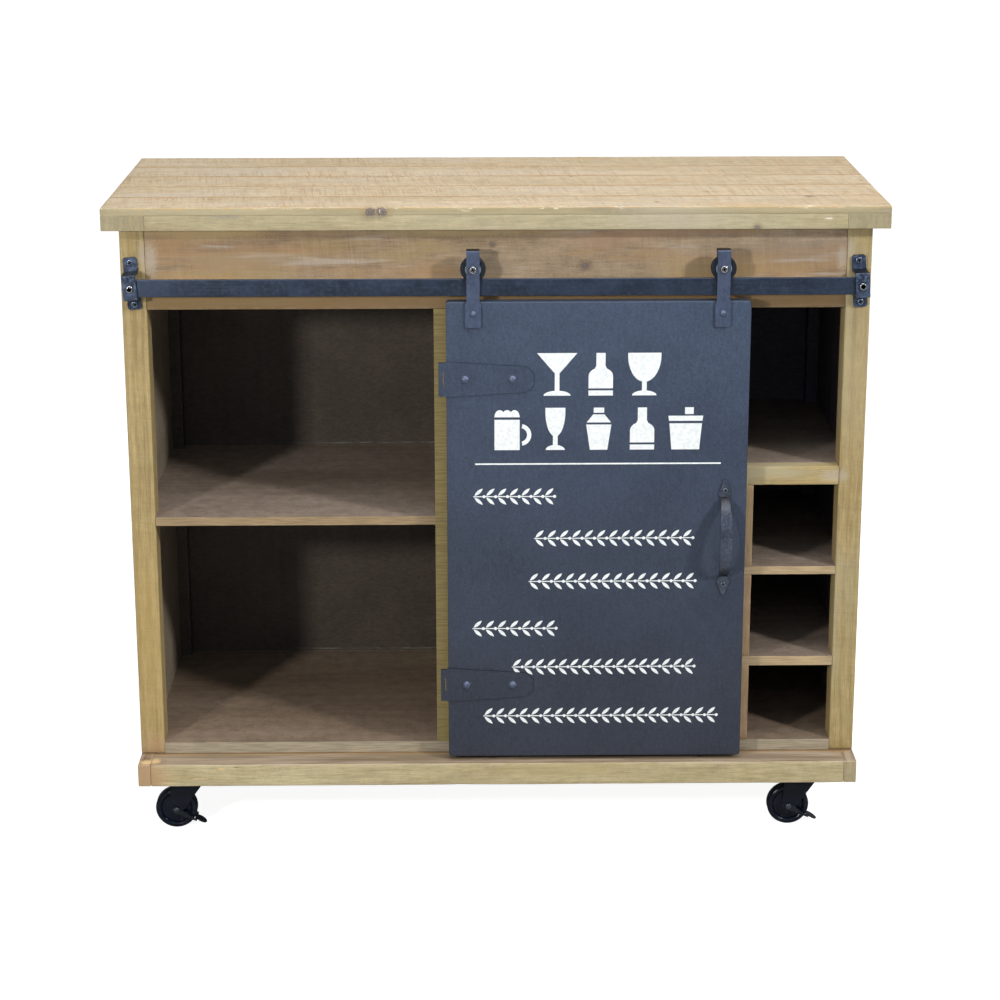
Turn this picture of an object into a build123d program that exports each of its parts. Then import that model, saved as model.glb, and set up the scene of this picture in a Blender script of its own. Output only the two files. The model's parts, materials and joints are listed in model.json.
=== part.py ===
from build123d import *
import math
import os

# A farmhouse bar cabinet on casters, in millimetres.
# Cabinet coordinates, used by every function below: X runs from left to right, Y runs back from the
# front face of the posts, and Z runs up from the underside of the base. save() moves each piece into
# the part's own frame, whose origin is at the middle of the bounding box's bottom face.

# ---- carcass -------------------------------------------------------------------------------------
BODY_WIDTH = 960.0
BODY_DEPTH = 386.0
BODY_TOP = 745.2
TOP_OVERHANG_X = 20.0
TOP_OVERHANG_Y = 19.3
PLANK_THICKNESS = 10.0
PLANK_COUNT = 5
PLANK_CHAMFER = 0.8
TOP_FRAME_THICKNESS = 19.5
TOP_FRAME_END_WIDTH = 55.0
TOP_FRAME_RAIL_WIDTH = 59.3
BASE_HEIGHT = 31.0
BASE_LEDGE = 43.0
BASE_FRONT_DEPTH = 83.0
BASE_REAR_DEPTH = 70.0
BASE_SIDE_WIDTH = 17.0
POST_WIDTH = 32.0
POST_DEPTH = 40.0
EDGE_ROUND = 1.2
SIDE_PANEL_INNER_X = 464.0
SIDE_PANEL_THICKNESS = 9.0
BACK_PANEL_FRONT_Y = 366.0
BACK_PANEL_THICKNESS = 5.0
BACK_SCREW_Z = (120, 260, 400, 540, 660)
HEADER_BOTTOM = 640.0
HEADER_THICKNESS = 20.0
REAR_TOP_RAIL_HEIGHT = 55.0
FLOOR_TOP = 46.0

# ---- dividers and shelves ------------------------------------------------------------------------
LEFT_DIVIDER = (-81.0, -56.0)
RIGHT_DIVIDER = (312.0, 324.0)
STILE = (312.0, 337.0)
STILE_DEPTH = 20.0
SHELF = (351.0, 362.5)
CUBBY_TOP_RAIL = (403.0, 428.0)
CUBBY_TOP_SHELF = (416.0, 428.0)
CUBBY_UPPER_SHELF = (280.0, 291.0)
CUBBY_LOWER_SHELF = (152.0, 165.0)

# ---- sliding door --------------------------------------------------------------------------------
DOOR_LEFT = -65.0
DOOR_RIGHT = 324.0
DOOR_BOTTOM = 36.5
DOOR_TOP = 655.0
DOOR_FRONT_Y = -31.5
DOOR_THICKNESS = 18.0
DOOR_CORNER = 4.0
GLIDE_SIZE = (10.0, 9.0, 4.0)
GLIDE_OFFSET_X = 140.0

# ---- rail, brackets, rollers and hangers ---------------------------------------------------------
RAIL_HALF_LENGTH = 472.0
RAIL_FRONT_Y = -29.0
RAIL_THICKNESS = 5.0
RAIL_BOTTOM = 662.3
RAIL_TOP = 684.7
BRACKET_X = 465.0
BRACKET_WIDTH = 18.0
STRAP_THICKNESS = 3.0
BRACKET_LUG_TOP = 709.0
BRACKET_LUG_BOTTOM = 641.0
BRACKET_UPPER_SCREW_Z = 702.0
BRACKET_LOWER_SCREW_Z = 648.0
BRACKET_TILT = 4.0
ROLLER_Z = 697.0
ROLLER_RADIUS = 16.2
ROLLER_RAIL_GAP = 0.3
ROLLER_FLANGE = 1.8
ROLLER_SIDE_PLAY = 0.4
HANGER_X = (-30.2, 287.8)
HANGER_WIDTH = 16.8
HANGER_PAD_WIDTH = 20.5
HANGER_BOTTOM = 622.0
HANGER_TOP = 721.4
HANGER_BACK_Y = -17.0
HANGER_RIVET_Z = 640.0

# ---- door furniture ------------------------------------------------------------------------------
HINGE_Z = (554.5, 138.5)
HINGE_LEFT = -75.0
HINGE_TIP = 47.0
HINGE_LEAF_THICKNESS = 2.0
HINGE_RIVET_X = (-41.0, 20.0)
PULL_X = 296.0
PULL_SCREW_Z = (277.5, 405.5)
PULL_BOW_Z = (287.0, 398.0)
PULL_FRONT_Y = -65.5
PULL_STRIP_THICKNESS = 2.6
PULL_PLATE_THICKNESS = 2.0

# ---- casters -------------------------------------------------------------------------------------
CASTER_HEIGHT = 72.0
CASTER_X = 414.0
CASTER_Y = (-5.0, 348.0)
CASTER_TRAIL = 20.3
PLATE_SIZE = 50.0
PLATE_THICKNESS = 2.0
PLATE_SCREW_OFFSET = 19.0
WHEEL_RADIUS = 28.0
WHEEL_HALF_WIDTH = 9.0
HUB_HALF_WIDTH = 9.8
FORK_TOP = 62.5
FORK_SHEET = 2.0
FORK_INNER = 10.2
FORK_BOSS_RADIUS = 9.0
KINGPIN_RADIUS = 4.0
AXLE_RADIUS = 3.0
RUNNING_GAP = 0.08
PEDAL_SHEET = 1.5
PEDAL_ANGLE = 30.0
PEDAL_REACH = 46.0

ROW_Y_SHIFT = -(PULL_FRONT_Y + BODY_DEPTH + TOP_OVERHANG_Y) / 2
FIT_GAP = 0.05


# ---- helpers -------------------------------------------------------------------------------------
def save(name, solids):
    """Writes the solids of one node, moved into the part's own frame."""
    moved = [Pos(0, ROW_Y_SHIFT, CASTER_HEIGHT) * solid for solid in solids]
    shape = moved[0] if len(moved) == 1 else Compound(children=moved)
    export_step(shape, f"parts/{name}.step")


def block(x, y, z):
    """A box from three (low, high) pairs."""
    size = [pair[1] - pair[0] for pair in (x, y, z)]
    middle = [(pair[0] + pair[1]) / 2 for pair in (x, y, z)]
    return Pos(*middle) * Box(*size)


def board(x, y, z, axis=Axis.X, radius=EDGE_ROUND):
    """A board with its four long edges slightly rounded."""
    solid = block(x, y, z)
    return fillet(solid.edges().filter_by(axis), radius)


def plate_xz(points, y_low, y_high):
    """A plate cut to an outline in the XZ plane."""
    outline = Plane.XZ * make_face(Polyline(*points, close=True))
    solid = extrude(outline, -(y_high - y_low))
    return Pos(0, y_low, 0) * solid


def slab_xy(points, z_low, z_high):
    """A panel cut to an outline in the XY plane."""
    return Pos(0, 0, z_low) * extrude(make_face(Polyline(*points, close=True)), z_high - z_low)


def slab_yz(points, x_low, x_high):
    """A panel cut to an outline in the YZ plane."""
    outline = Plane.YZ * make_face(Polyline(*points, close=True))
    return Pos(x_low, 0, 0) * extrude(outline, x_high - x_low)


def rod_y(x, z, y_low, y_high, radius):
    """A cylinder along Y."""
    return Pos(x, (y_low + y_high) / 2, z) * Rot(90, 0, 0) * Cylinder(radius, y_high - y_low)


def rod_z(x, y, z_low, z_high, radius):
    """A cylinder along Z."""
    return Pos(x, y, (z_low + z_high) / 2) * Cylinder(radius, z_high - z_low)


def cross_screw(head_radius, head_height, shaft_radius, shaft_length):
    """A pan-head screw with a cross recess: it stands on Z = 0 with its shaft below."""
    head = Pos(0, 0, head_height / 2) * Cylinder(head_radius, head_height)
    head = fillet(head.edges().group_by(Axis.Z)[-1], head_height * 0.6)
    arm = head_radius * 1.3
    slot = head_radius * 0.32
    depth = head_height * 1.2
    for turn in (0, 90):
        head -= Pos(0, 0, head_height) * Rot(0, 0, turn + 20) * Box(arm, slot, depth)
    return head + Pos(0, 0, -shaft_length / 2) * Cylinder(shaft_radius, shaft_length)


def rivet(head_radius, head_height, shaft_radius, shaft_length):
    """A domed rivet: it stands on Z = 0 with its shaft below."""
    ball = (head_radius**2 + head_height**2) / (2 * head_height)
    dome = Pos(0, 0, head_height - ball) * Sphere(ball)
    dome &= Pos(0, 0, head_height / 2) * Box(4 * head_radius, 4 * head_radius, head_height)
    return dome + Pos(0, 0, -shaft_length / 2) * Cylinder(shaft_radius, shaft_length)


def facing_front(x, y, z):
    """Places something that stands on Z = 0 so that it faces the front at a point."""
    return Pos(x, y, z) * Rot(90, 0, 0)


def hex_nut(x, z, y_low, y_high, across, bore):
    """A hexagon nut on an axis along Y."""
    nut = extrude(RegularPolygon(across / 2, 6, major_radius=False), y_high - y_low)
    nut -= Pos(0, 0, (y_high - y_low) / 2) * Cylinder(bore, 2 * (y_high - y_low))
    return Pos(x, y_high, z) * Rot(90, 0, 0) * nut


def shelf_outline(left, right, front_left=None):
    """A shelf's plan: notched round each post that it meets."""
    inner = BODY_WIDTH / 2 - POST_WIDTH
    rear_post = BODY_DEPTH - POST_DEPTH
    back = BACK_PANEL_FRONT_Y
    points = []
    if left < -inner:
        points += [(left, rear_post), (left, POST_DEPTH), (-inner, POST_DEPTH), (-inner, 0)]
    elif front_left is not None:
        points += [(left, back), (left, STILE_DEPTH), (front_left, STILE_DEPTH), (front_left, 0)]
    else:
        points += [(left, back), (left, 0)]
    if right > inner:
        points += [(inner, 0), (inner, POST_DEPTH), (right, POST_DEPTH), (right, rear_post)]
        points += [(inner, rear_post), (inner, back)]
    else:
        points += [(right, 0), (right, back)]
    if left < -inner:
        points += [(-inner, back), (-inner, rear_post)]
    return points


# ---- top -----------------------------------------------------------------------------------------
def make_top():
    half = BODY_WIDTH / 2 + TOP_OVERHANG_X
    front = -TOP_OVERHANG_Y
    back = BODY_DEPTH + TOP_OVERHANG_Y
    frame_z = (BODY_TOP, BODY_TOP + TOP_FRAME_THICKNESS)
    plank_z = (frame_z[1], frame_z[1] + PLANK_THICKNESS)
    pitch = (back - front) / PLANK_COUNT
    planks = []
    for index in range(PLANK_COUNT):
        y_low = front + index * pitch
        plank = block((-half, half), (y_low, y_low + pitch), plank_z)
        upper = plank.edges().filter_by(Axis.X).group_by(Axis.Z)[-1]
        planks.append(chamfer(upper, PLANK_CHAMFER))
    save("top_planks", planks)
    inner = half - TOP_FRAME_END_WIDTH
    front_y = (front, front + TOP_FRAME_RAIL_WIDTH)
    rear_y = (back - TOP_FRAME_RAIL_WIDTH, back)
    save("top_frame_rails", [board((-inner, inner), y, frame_z, radius=0.6) for y in (front_y, rear_y)])
    ends = [board(x, (front, back), frame_z, Axis.Y, 0.6) for x in ((-half, -inner), (inner, half))]
    save("top_frame_ends", ends)


# ---- posts and panels ----------------------------------------------------------------------------
def make_posts():
    outer = BODY_WIDTH / 2
    inner = outer - POST_WIDTH
    depths = {"front": (0, POST_DEPTH), "rear": (BODY_DEPTH - POST_DEPTH, BODY_DEPTH)}
    widths = {"left": (-outer, -inner), "right": (inner, outer)}
    for row, y in depths.items():
        for side, x in widths.items():
            post = board(x, y, (BASE_HEIGHT, BODY_TOP), Axis.Z)
            if row == "front":
                for screw_x, z in bracket_screw_points(math.copysign(BRACKET_X, x[0])):
                    post -= rod_y(screw_x, z, -1, 16, 1.8 + FIT_GAP)
            save(f"post_{row}_{side}", [post])


def make_panels():
    inner = BODY_WIDTH / 2 - POST_WIDTH
    rear_post = BODY_DEPTH - POST_DEPTH
    side_y = (POST_DEPTH, rear_post)
    wall_z = (BASE_HEIGHT, BODY_TOP)
    outer_x = SIDE_PANEL_INNER_X + SIDE_PANEL_THICKNESS
    save("side_panel_left", [block((-outer_x, -SIDE_PANEL_INNER_X), side_y, wall_z)])
    save("side_panel_right", [block((SIDE_PANEL_INNER_X, outer_x), side_y, wall_z)])
    back_y = (BACK_PANEL_FRONT_Y, BACK_PANEL_FRONT_Y + BACK_PANEL_THICKNESS)
    back = block((-inner, inner), back_y, wall_z)
    screws = []
    for x in (sum(LEFT_DIVIDER) / 2, sum(RIGHT_DIVIDER) / 2):
        for z in BACK_SCREW_Z:
            back -= rod_y(x, z, back_y[0] - 1, back_y[1] + 1, 1.5 + FIT_GAP)
            screws.append(Pos(x, back_y[1], z) * Rot(-90, 0, 0) * cross_screw(3.2, 1.6, 1.5, 16))
    save("back_panel", [back])
    save("back_panel_screws", screws)
    header = board((-inner, inner), (0, HEADER_THICKNESS), (HEADER_BOTTOM, BODY_TOP), radius=0.8)
    save("header_board", [header])
    rear_z = (BODY_TOP - REAR_TOP_RAIL_HEIGHT, BODY_TOP)
    save("rear_top_rail", [board((-inner, inner), (back_y[1], BODY_DEPTH), rear_z, radius=0.8)])


def make_dividers():
    back = BACK_PANEL_FRONT_Y
    step = HEADER_THICKNESS
    left = [(0, FLOOR_TOP), (back, FLOOR_TOP), (back, BODY_TOP), (step, BODY_TOP)]
    left += [(step, HEADER_BOTTOM), (0, HEADER_BOTTOM)]
    # The right divider stands behind the cubby stiles and reaches the front above them.
    right = [(STILE_DEPTH, FLOOR_TOP), (back, FLOOR_TOP), (back, BODY_TOP), (step, BODY_TOP)]
    right += [(step, HEADER_BOTTOM), (0, HEADER_BOTTOM), (0, CUBBY_TOP_RAIL[1])]
    right += [(STILE_DEPTH, CUBBY_TOP_RAIL[1])]
    for name, outline, x in (
        ("divider_left", left, LEFT_DIVIDER),
        ("divider_right", right, RIGHT_DIVIDER),
    ):
        wall = slab_yz(outline, *x)
        for z in BACK_SCREW_Z:
            wall -= rod_y(sum(x) / 2, z, back - 12, back + 1, 1.5 + FIT_GAP)
        save(name, [wall])


def make_shelves():
    side = SIDE_PANEL_INNER_X
    save("floor_panel", [slab_xy(shelf_outline(-side, side), BASE_HEIGHT, FLOOR_TOP)])
    save("shelf_left", [slab_xy(shelf_outline(-side, LEFT_DIVIDER[0]), *SHELF)])
    save("shelf_middle", [slab_xy(shelf_outline(LEFT_DIVIDER[1], RIGHT_DIVIDER[0]), *SHELF)])
    upper = shelf_outline(RIGHT_DIVIDER[1], side, STILE[0])
    save("cubby_shelf_upper", [slab_xy(upper, *CUBBY_UPPER_SHELF)])
    save("cubby_shelf_lower", [slab_xy(upper, *CUBBY_LOWER_SHELF)])
    behind_rail = slab_xy(shelf_outline(RIGHT_DIVIDER[1], side), *CUBBY_TOP_SHELF)
    behind_rail -= block((0, side), (-1, STILE_DEPTH), (0, BODY_TOP))
    save("cubby_shelf_top", [behind_rail])
    inner = BODY_WIDTH / 2 - POST_WIDTH
    save("cubby_top_rail", [board((STILE[0], inner), (0, STILE_DEPTH), CUBBY_TOP_RAIL, radius=0.8)])
    levels = (
        (FLOOR_TOP, CUBBY_LOWER_SHELF[0]),
        (CUBBY_LOWER_SHELF[1], CUBBY_UPPER_SHELF[0]),
        (CUBBY_UPPER_SHELF[1], CUBBY_TOP_RAIL[0]),
    )
    save("cubby_stiles", [board(STILE, (0, STILE_DEPTH), z, Axis.Z, 0.8) for z in levels])


# ---- base ----------------------------------------------------------------------------------------
def make_base():
    outer = BODY_WIDTH / 2
    inner = outer - BASE_SIDE_WIDTH
    height = (0, BASE_HEIGHT)
    front_y = (-BASE_LEDGE, BASE_FRONT_DEPTH - BASE_LEDGE)
    rear_y = (BODY_DEPTH - BASE_REAR_DEPTH, BODY_DEPTH)
    for name, y, row in (("base_front_rail", front_y, 0), ("base_rear_rail", rear_y, 1)):
        rail = board((-inner, inner), y, height)
        for x, screw_y in caster_screw_points(row):
            rail -= rod_z(x, screw_y, -1, 16, 2 + FIT_GAP)
        save(name, [rail])
    depth = (-BASE_LEDGE, BODY_DEPTH)
    ends = [board(x, depth, height, Axis.Y) for x in ((-outer, -inner), (inner, outer))]
    save("base_end_rails", ends)


# ---- rail and its brackets -----------------------------------------------------------------------
def make_rail():
    back = RAIL_FRONT_Y + RAIL_THICKNESS
    middle = (RAIL_BOTTOM + RAIL_TOP) / 2
    x = (-RAIL_HALF_LENGTH, RAIL_HALF_LENGTH)
    rail = board(x, (RAIL_FRONT_Y, back), (RAIL_BOTTOM, RAIL_TOP))
    end_screws = []
    wood_screws = []
    front = RAIL_FRONT_Y - STRAP_THICKNESS
    for side in (-1, 1):
        centre = side * BRACKET_X
        rail -= rod_y(centre, middle, front, 0, 2.5 + FIT_GAP)
        screw = facing_front(centre, front, middle) * cross_screw(4.8, 2.6, 2.5, 13)
        nut = hex_nut(centre, middle, back, back + 3, 8, 2.5 + FIT_GAP)
        end_screws += [screw, nut]
        for screw_x, z in bracket_screw_points(centre):
            screw = cross_screw(4.2, 2, 1.8, 17)
            wood_screws.append(facing_front(screw_x, -STRAP_THICKNESS, z) * screw)
        save("rail_bracket_left" if side < 0 else "rail_bracket_right", [make_bracket(centre)])
    save("door_rail", [rail])
    save("rail_end_screws", end_screws)
    save("bracket_screws", wood_screws)


def bracket_screw_points(centre):
    """Where a bracket's two wood screws go: the bracket leans about the screw in the rail's end."""
    middle = (RAIL_BOTTOM + RAIL_TOP) / 2
    lean = math.radians(BRACKET_TILT)
    for z in (BRACKET_UPPER_SCREW_Z, BRACKET_LOWER_SCREW_Z):
        yield centre - (z - middle) * math.sin(lean), middle + (z - middle) * math.cos(lean)


def make_bracket(centre):
    """A strap bent like a hat: two lugs on the post and a bridge that holds the rail's end."""
    rail_middle = (RAIL_BOTTOM + RAIL_TOP) / 2
    x = (centre - BRACKET_WIDTH / 2, centre + BRACKET_WIDTH / 2)
    sheet = STRAP_THICKNESS
    front = RAIL_FRONT_Y - sheet
    under = RAIL_BOTTOM - 1
    over = RAIL_TOP + 3.3
    outline = [(0, BRACKET_LUG_BOTTOM), (0, under), (RAIL_FRONT_Y, under), (RAIL_FRONT_Y, over)]
    outline += [(0, over), (0, BRACKET_LUG_TOP), (-sheet, BRACKET_LUG_TOP), (-sheet, over + sheet)]
    outline += [(front, over + sheet), (front, under - sheet), (-sheet, under - sheet)]
    outline += [(-sheet, BRACKET_LUG_BOTTOM)]
    strap = slab_yz(outline, *x)
    bends = strap.edges().filter_by(Axis.X).filter_by_position(Axis.Y, front - 0.1, front + 0.1)
    strap = fillet(bends, 2.2)
    corners = strap.edges().filter_by(Axis.Y)
    corners = corners.group_by(Axis.Z)[0] + corners.group_by(Axis.Z)[-1]
    strap = fillet(corners, 4)
    strap -= rod_y(centre, rail_middle, front - 1, RAIL_FRONT_Y + 1, 2.5 + FIT_GAP)
    for z in (BRACKET_UPPER_SCREW_Z, BRACKET_LOWER_SCREW_Z):
        strap -= rod_y(centre, z, -sheet - 1, 1, 1.8 + FIT_GAP)
    pivot = Pos(centre, 0, rail_middle)
    return pivot * Rot(0, -BRACKET_TILT, 0) * pivot.inverse() * strap


# ---- door ----------------------------------------------------------------------------------------
def make_door():
    back = DOOR_FRONT_Y + DOOR_THICKNESS
    panel = block((DOOR_LEFT, DOOR_RIGHT), (DOOR_FRONT_Y, back), (DOOR_BOTTOM, DOOR_TOP))
    panel = fillet(panel.edges().filter_by(Axis.Y), DOOR_CORNER)
    panel = fillet(panel.edges().group_by(Axis.Y)[0], 1.2)
    for x in HANGER_X:
        panel -= rod_y(x, HANGER_RIVET_Z, DOOR_FRONT_Y - 1, DOOR_FRONT_Y + 12, 2.5 + FIT_GAP)
    for x in HINGE_RIVET_X:
        for z in HINGE_Z:
            panel -= rod_y(x, z, DOOR_FRONT_Y - 1, DOOR_FRONT_Y + 12, 2 + FIT_GAP)
    for z in PULL_SCREW_Z:
        panel -= rod_y(PULL_X, z, DOOR_FRONT_Y - 1, DOOR_FRONT_Y + 14, 1.8 + FIT_GAP)
    save("door_panel", [panel])
    middle = (DOOR_LEFT + DOOR_RIGHT) / 2
    width, depth, height = GLIDE_SIZE
    pads = []
    for side in (-1, 1):
        centre_y = DOOR_FRONT_Y + DOOR_THICKNESS / 2
        pad = Box(width, depth, height)
        pad = Pos(middle + side * GLIDE_OFFSET_X, centre_y, DOOR_BOTTOM - height / 2) * pad
        pads.append(fillet(pad.edges().group_by(Axis.Z)[0], 1.5))
    save("door_glides", pads)


def make_hinge_straps():
    """Dummy strap hinges: a tapered leaf whose knuckle end stands out past the door's edge."""
    leaves = []
    rivets = []
    front = DOOR_FRONT_Y - HINGE_LEAF_THICKNESS
    for z in HINGE_Z:
        upper = [(HINGE_LEFT, 22), (-66.5, 22), (-66.5, 23.5), (38, 16.5), (HINGE_TIP, 8)]
        lower = [(x, -height) for x, height in reversed(upper)]
        outline = [(x, z + height) for x, height in upper + lower]
        leaf = plate_xz(outline, front, DOOR_FRONT_Y)
        knuckle = block((HINGE_LEFT, -66.5), (front, DOOR_FRONT_Y + 1.5), (z - 22, z + 22))
        leaf += fillet(knuckle.edges().filter_by(Axis.Z), 1.6)
        leaf -= block((-69.4, -68.2), (front - 1, DOOR_FRONT_Y + 3), (z - 10, z + 10))
        for x in HINGE_RIVET_X:
            leaf -= rod_y(x, z, front - 1, DOOR_FRONT_Y + 1, 2 + FIT_GAP)
            rivets.append(facing_front(x, front, z) * rivet(5.4, 3.4, 2, 12))
        leaves.append(leaf)
    save("hinge_straps", leaves)
    save("strap_rivets", rivets)


def make_pull():
    """A bow pull: a bent strip that is widest in the middle, with a pear-shaped plate at each end."""
    low, high = PULL_BOW_Z
    middle = (low + high) / 2
    plate_front = DOOR_FRONT_Y - PULL_PLATE_THICKNESS
    inner_front = PULL_FRONT_Y + PULL_STRIP_THICKNESS
    inset = PULL_STRIP_THICKNESS * 1.4
    outer_arc = ThreePointArc((DOOR_FRONT_Y, low), (PULL_FRONT_Y, middle), (DOOR_FRONT_Y, high))
    inner_arc = ThreePointArc(
        (DOOR_FRONT_Y, high - inset), (inner_front, middle), (DOOR_FRONT_Y, low + inset)
    )
    ends = [
        Line((DOOR_FRONT_Y, high), (DOOR_FRONT_Y, high - inset)),
        Line((DOOR_FRONT_Y, low + inset), (DOOR_FRONT_Y, low)),
    ]
    strip = Plane.YZ * make_face([outer_arc, inner_arc] + ends)
    strip = Pos(PULL_X - 10, 0, 0) * extrude(strip, 20)
    half_end = 5.0
    half_middle = 8.0
    right = ThreePointArc((half_end, low - 1), (half_middle, middle), (half_end, high + 1))
    left = ThreePointArc((-half_end, high + 1), (-half_middle, middle), (-half_end, low - 1))
    caps = [
        Line((half_end, high + 1), (-half_end, high + 1)),
        Line((-half_end, low - 1), (half_end, low - 1)),
    ]
    shape = Plane.XZ * make_face([right, left] + caps)
    strip &= Pos(PULL_X, 0, 0) * extrude(shape, 80)
    pull = strip
    for z, side in zip(PULL_SCREW_Z, (-1, 1)):
        round_end = Pos(0, z - side * 4) * Circle(8)
        tip = make_hull(round_end.edges() + (Pos(0, z + side * 12) * Circle(2.5)).edges())
        plate = Plane.XZ * tip
        plate = Pos(PULL_X, DOOR_FRONT_Y, 0) * extrude(plate, PULL_PLATE_THICKNESS)
        pull += plate - rod_y(PULL_X, z, DOOR_FRONT_Y - 4, DOOR_FRONT_Y + 1, 1.8 + FIT_GAP)
    screw = cross_screw(3.4, 1.6, 1.8, 15)
    screws = [facing_front(PULL_X, plate_front, z) * screw for z in PULL_SCREW_Z]
    save("door_pull", [pull])
    save("pull_screws", screws)


def make_hangers():
    front = DOOR_FRONT_Y - STRAP_THICKNESS
    rivets = []
    bolts = []
    for name, x in zip(("left", "right"), HANGER_X):
        half = HANGER_WIDTH / 2
        pad = HANGER_PAD_WIDTH / 2
        shoulder = DOOR_TOP - 1
        outline = [(x - pad, HANGER_BOTTOM), (x + pad, HANGER_BOTTOM), (x + pad, shoulder)]
        outline += [(x + half, shoulder), (x + half, HANGER_TOP), (x - half, HANGER_TOP)]
        outline += [(x - half, shoulder), (x - pad, shoulder)]
        strap = plate_xz(outline, front, DOOR_FRONT_Y)
        strap = fillet(strap.edges().filter_by(Axis.Y).group_by(Axis.Z)[0], 3.5)
        wide = (x - half, x + half)
        top = (HANGER_TOP - STRAP_THICKNESS, HANGER_TOP)
        rear = (HANGER_BACK_Y - STRAP_THICKNESS, HANGER_BACK_Y)
        strap += block(wide, (front, HANGER_BACK_Y), top)
        tail = block(wide, rear, (ROLLER_Z - 9, HANGER_TOP))
        strap += fillet(tail.edges().filter_by(Axis.Y).group_by(Axis.Z)[0], 6)
        bends = strap.edges().filter_by(Axis.X).group_by(Axis.Z)[-1]
        strap = fillet(bends, 2.4)
        strap -= rod_y(x, HANGER_RIVET_Z, front - 1, DOOR_FRONT_Y + 1, 2.5 + FIT_GAP)
        strap -= rod_y(x, ROLLER_Z, front - 1, HANGER_BACK_Y + 1, AXLE_RADIUS + FIT_GAP)
        save(f"hanger_{name}", [strap])
        save(f"roller_{name}", [make_roller(x)])
        rivets.append(facing_front(x, front, HANGER_RIVET_Z) * rivet(4.4, 2.8, 2.5, 14))
        bolt = cross_screw(5.0, 2.8, AXLE_RADIUS, HANGER_BACK_Y - front + 5)
        bolts.append(facing_front(x, front, ROLLER_Z) * bolt)
        nut = hex_nut(x, ROLLER_Z, HANGER_BACK_Y, HANGER_BACK_Y + 4, 10, AXLE_RADIUS + FIT_GAP)
        bolts.append(nut)
    save("hanger_rivets", rivets)
    save("axle_bolts", bolts)


def make_roller(x):
    """A grooved roller that runs along the rail's upper edge."""
    rail_back = RAIL_FRONT_Y + RAIL_THICKNESS
    groove = (RAIL_FRONT_Y - ROLLER_SIDE_PLAY, rail_back + ROLLER_SIDE_PLAY)
    outer = (groove[0] - ROLLER_FLANGE, groove[1] + ROLLER_FLANGE)
    groove_radius = ROLLER_Z - RAIL_TOP - ROLLER_RAIL_GAP
    half_profile = [(AXLE_RADIUS + RUNNING_GAP, outer[0]), (ROLLER_RADIUS - 0.6, outer[0])]
    half_profile += [(ROLLER_RADIUS, outer[0] + 0.6), (ROLLER_RADIUS, groove[0] - 0.5)]
    half_profile += [(groove_radius, groove[0]), (groove_radius, groove[1])]
    half_profile += [(ROLLER_RADIUS, groove[1] + 0.5), (ROLLER_RADIUS, outer[1] - 0.6)]
    half_profile += [(ROLLER_RADIUS - 0.6, outer[1]), (AXLE_RADIUS + RUNNING_GAP, outer[1])]
    profile = make_face(Polyline(*half_profile, close=True))
    return Pos(x, 0, ROLLER_Z) * revolve(profile, Axis.Y)


# ---- casters -------------------------------------------------------------------------------------
def caster_centres(row):
    """The two swivel axes of the front row (0) or the rear row (1)."""
    return [(-CASTER_X, CASTER_Y[row]), (CASTER_X, CASTER_Y[row])]


def caster_screw_points(row):
    offsets = (-PLATE_SCREW_OFFSET, PLATE_SCREW_OFFSET)
    return [(x + dx, y + dy) for x, y in caster_centres(row) for dx in offsets for dy in offsets]


def make_caster_plate():
    """The top plate with its raceway, seen with the floor at Z = 0 and the swivel axis on Z."""
    top = CASTER_HEIGHT
    under = top - PLATE_THICKNESS
    plate = Pos(0, 0, top - PLATE_THICKNESS / 2) * Box(PLATE_SIZE, PLATE_SIZE, PLATE_THICKNESS)
    plate = fillet(plate.edges().filter_by(Axis.Z), 5)
    race_bottom = FORK_TOP + 0.5
    raceway = Pos(0, 0, (under + race_bottom) / 2) * Cone(12.5, 17, under - race_bottom)
    plate += raceway
    plate -= rod_z(0, 0, 0, top + 1, KINGPIN_RADIUS + FIT_GAP)
    for x in (-PLATE_SCREW_OFFSET, PLATE_SCREW_OFFSET):
        for y in (-PLATE_SCREW_OFFSET, PLATE_SCREW_OFFSET):
            plate -= rod_z(x, y, under - 1, top + 1, 2 + FIT_GAP)
    return plate


def make_kingpin():
    head_top = FORK_TOP - FORK_SHEET - 0.3
    pin = rod_z(0, 0, head_top - 3.5, CASTER_HEIGHT - 0.1, KINGPIN_RADIUS)
    head = rod_z(0, 0, head_top - 3.5, head_top, 7)
    return pin + fillet(head.edges().group_by(Axis.Z)[0], 1.5)


def make_fork():
    """A pressed fork: a round top with two cheeks that run down to the axle."""
    outer = FORK_INNER + FORK_SHEET
    boss = Pos(-CASTER_TRAIL, WHEEL_RADIUS) * Circle(FORK_BOSS_RADIUS)
    crown = Polyline((15, FORK_TOP), (-26, FORK_TOP), close=False)
    cheek = Plane.XZ * make_hull(boss.edges() + crown.edges())
    fork = Pos(0, outer, 0) * extrude(cheek, 2 * outer)
    hollow_top = FORK_TOP - FORK_SHEET
    fork -= block((-60, 60), (-FORK_INNER, FORK_INNER), (0, hollow_top))
    fork += rod_z(0, 0, hollow_top, FORK_TOP, 16)
    fork -= rod_z(0, 0, hollow_top - 1, FORK_TOP + 1, KINGPIN_RADIUS + RUNNING_GAP)
    fork -= rod_y(-CASTER_TRAIL, WHEEL_RADIUS, -outer - 1, outer + 1, AXLE_RADIUS + FIT_GAP)
    return fork


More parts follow.
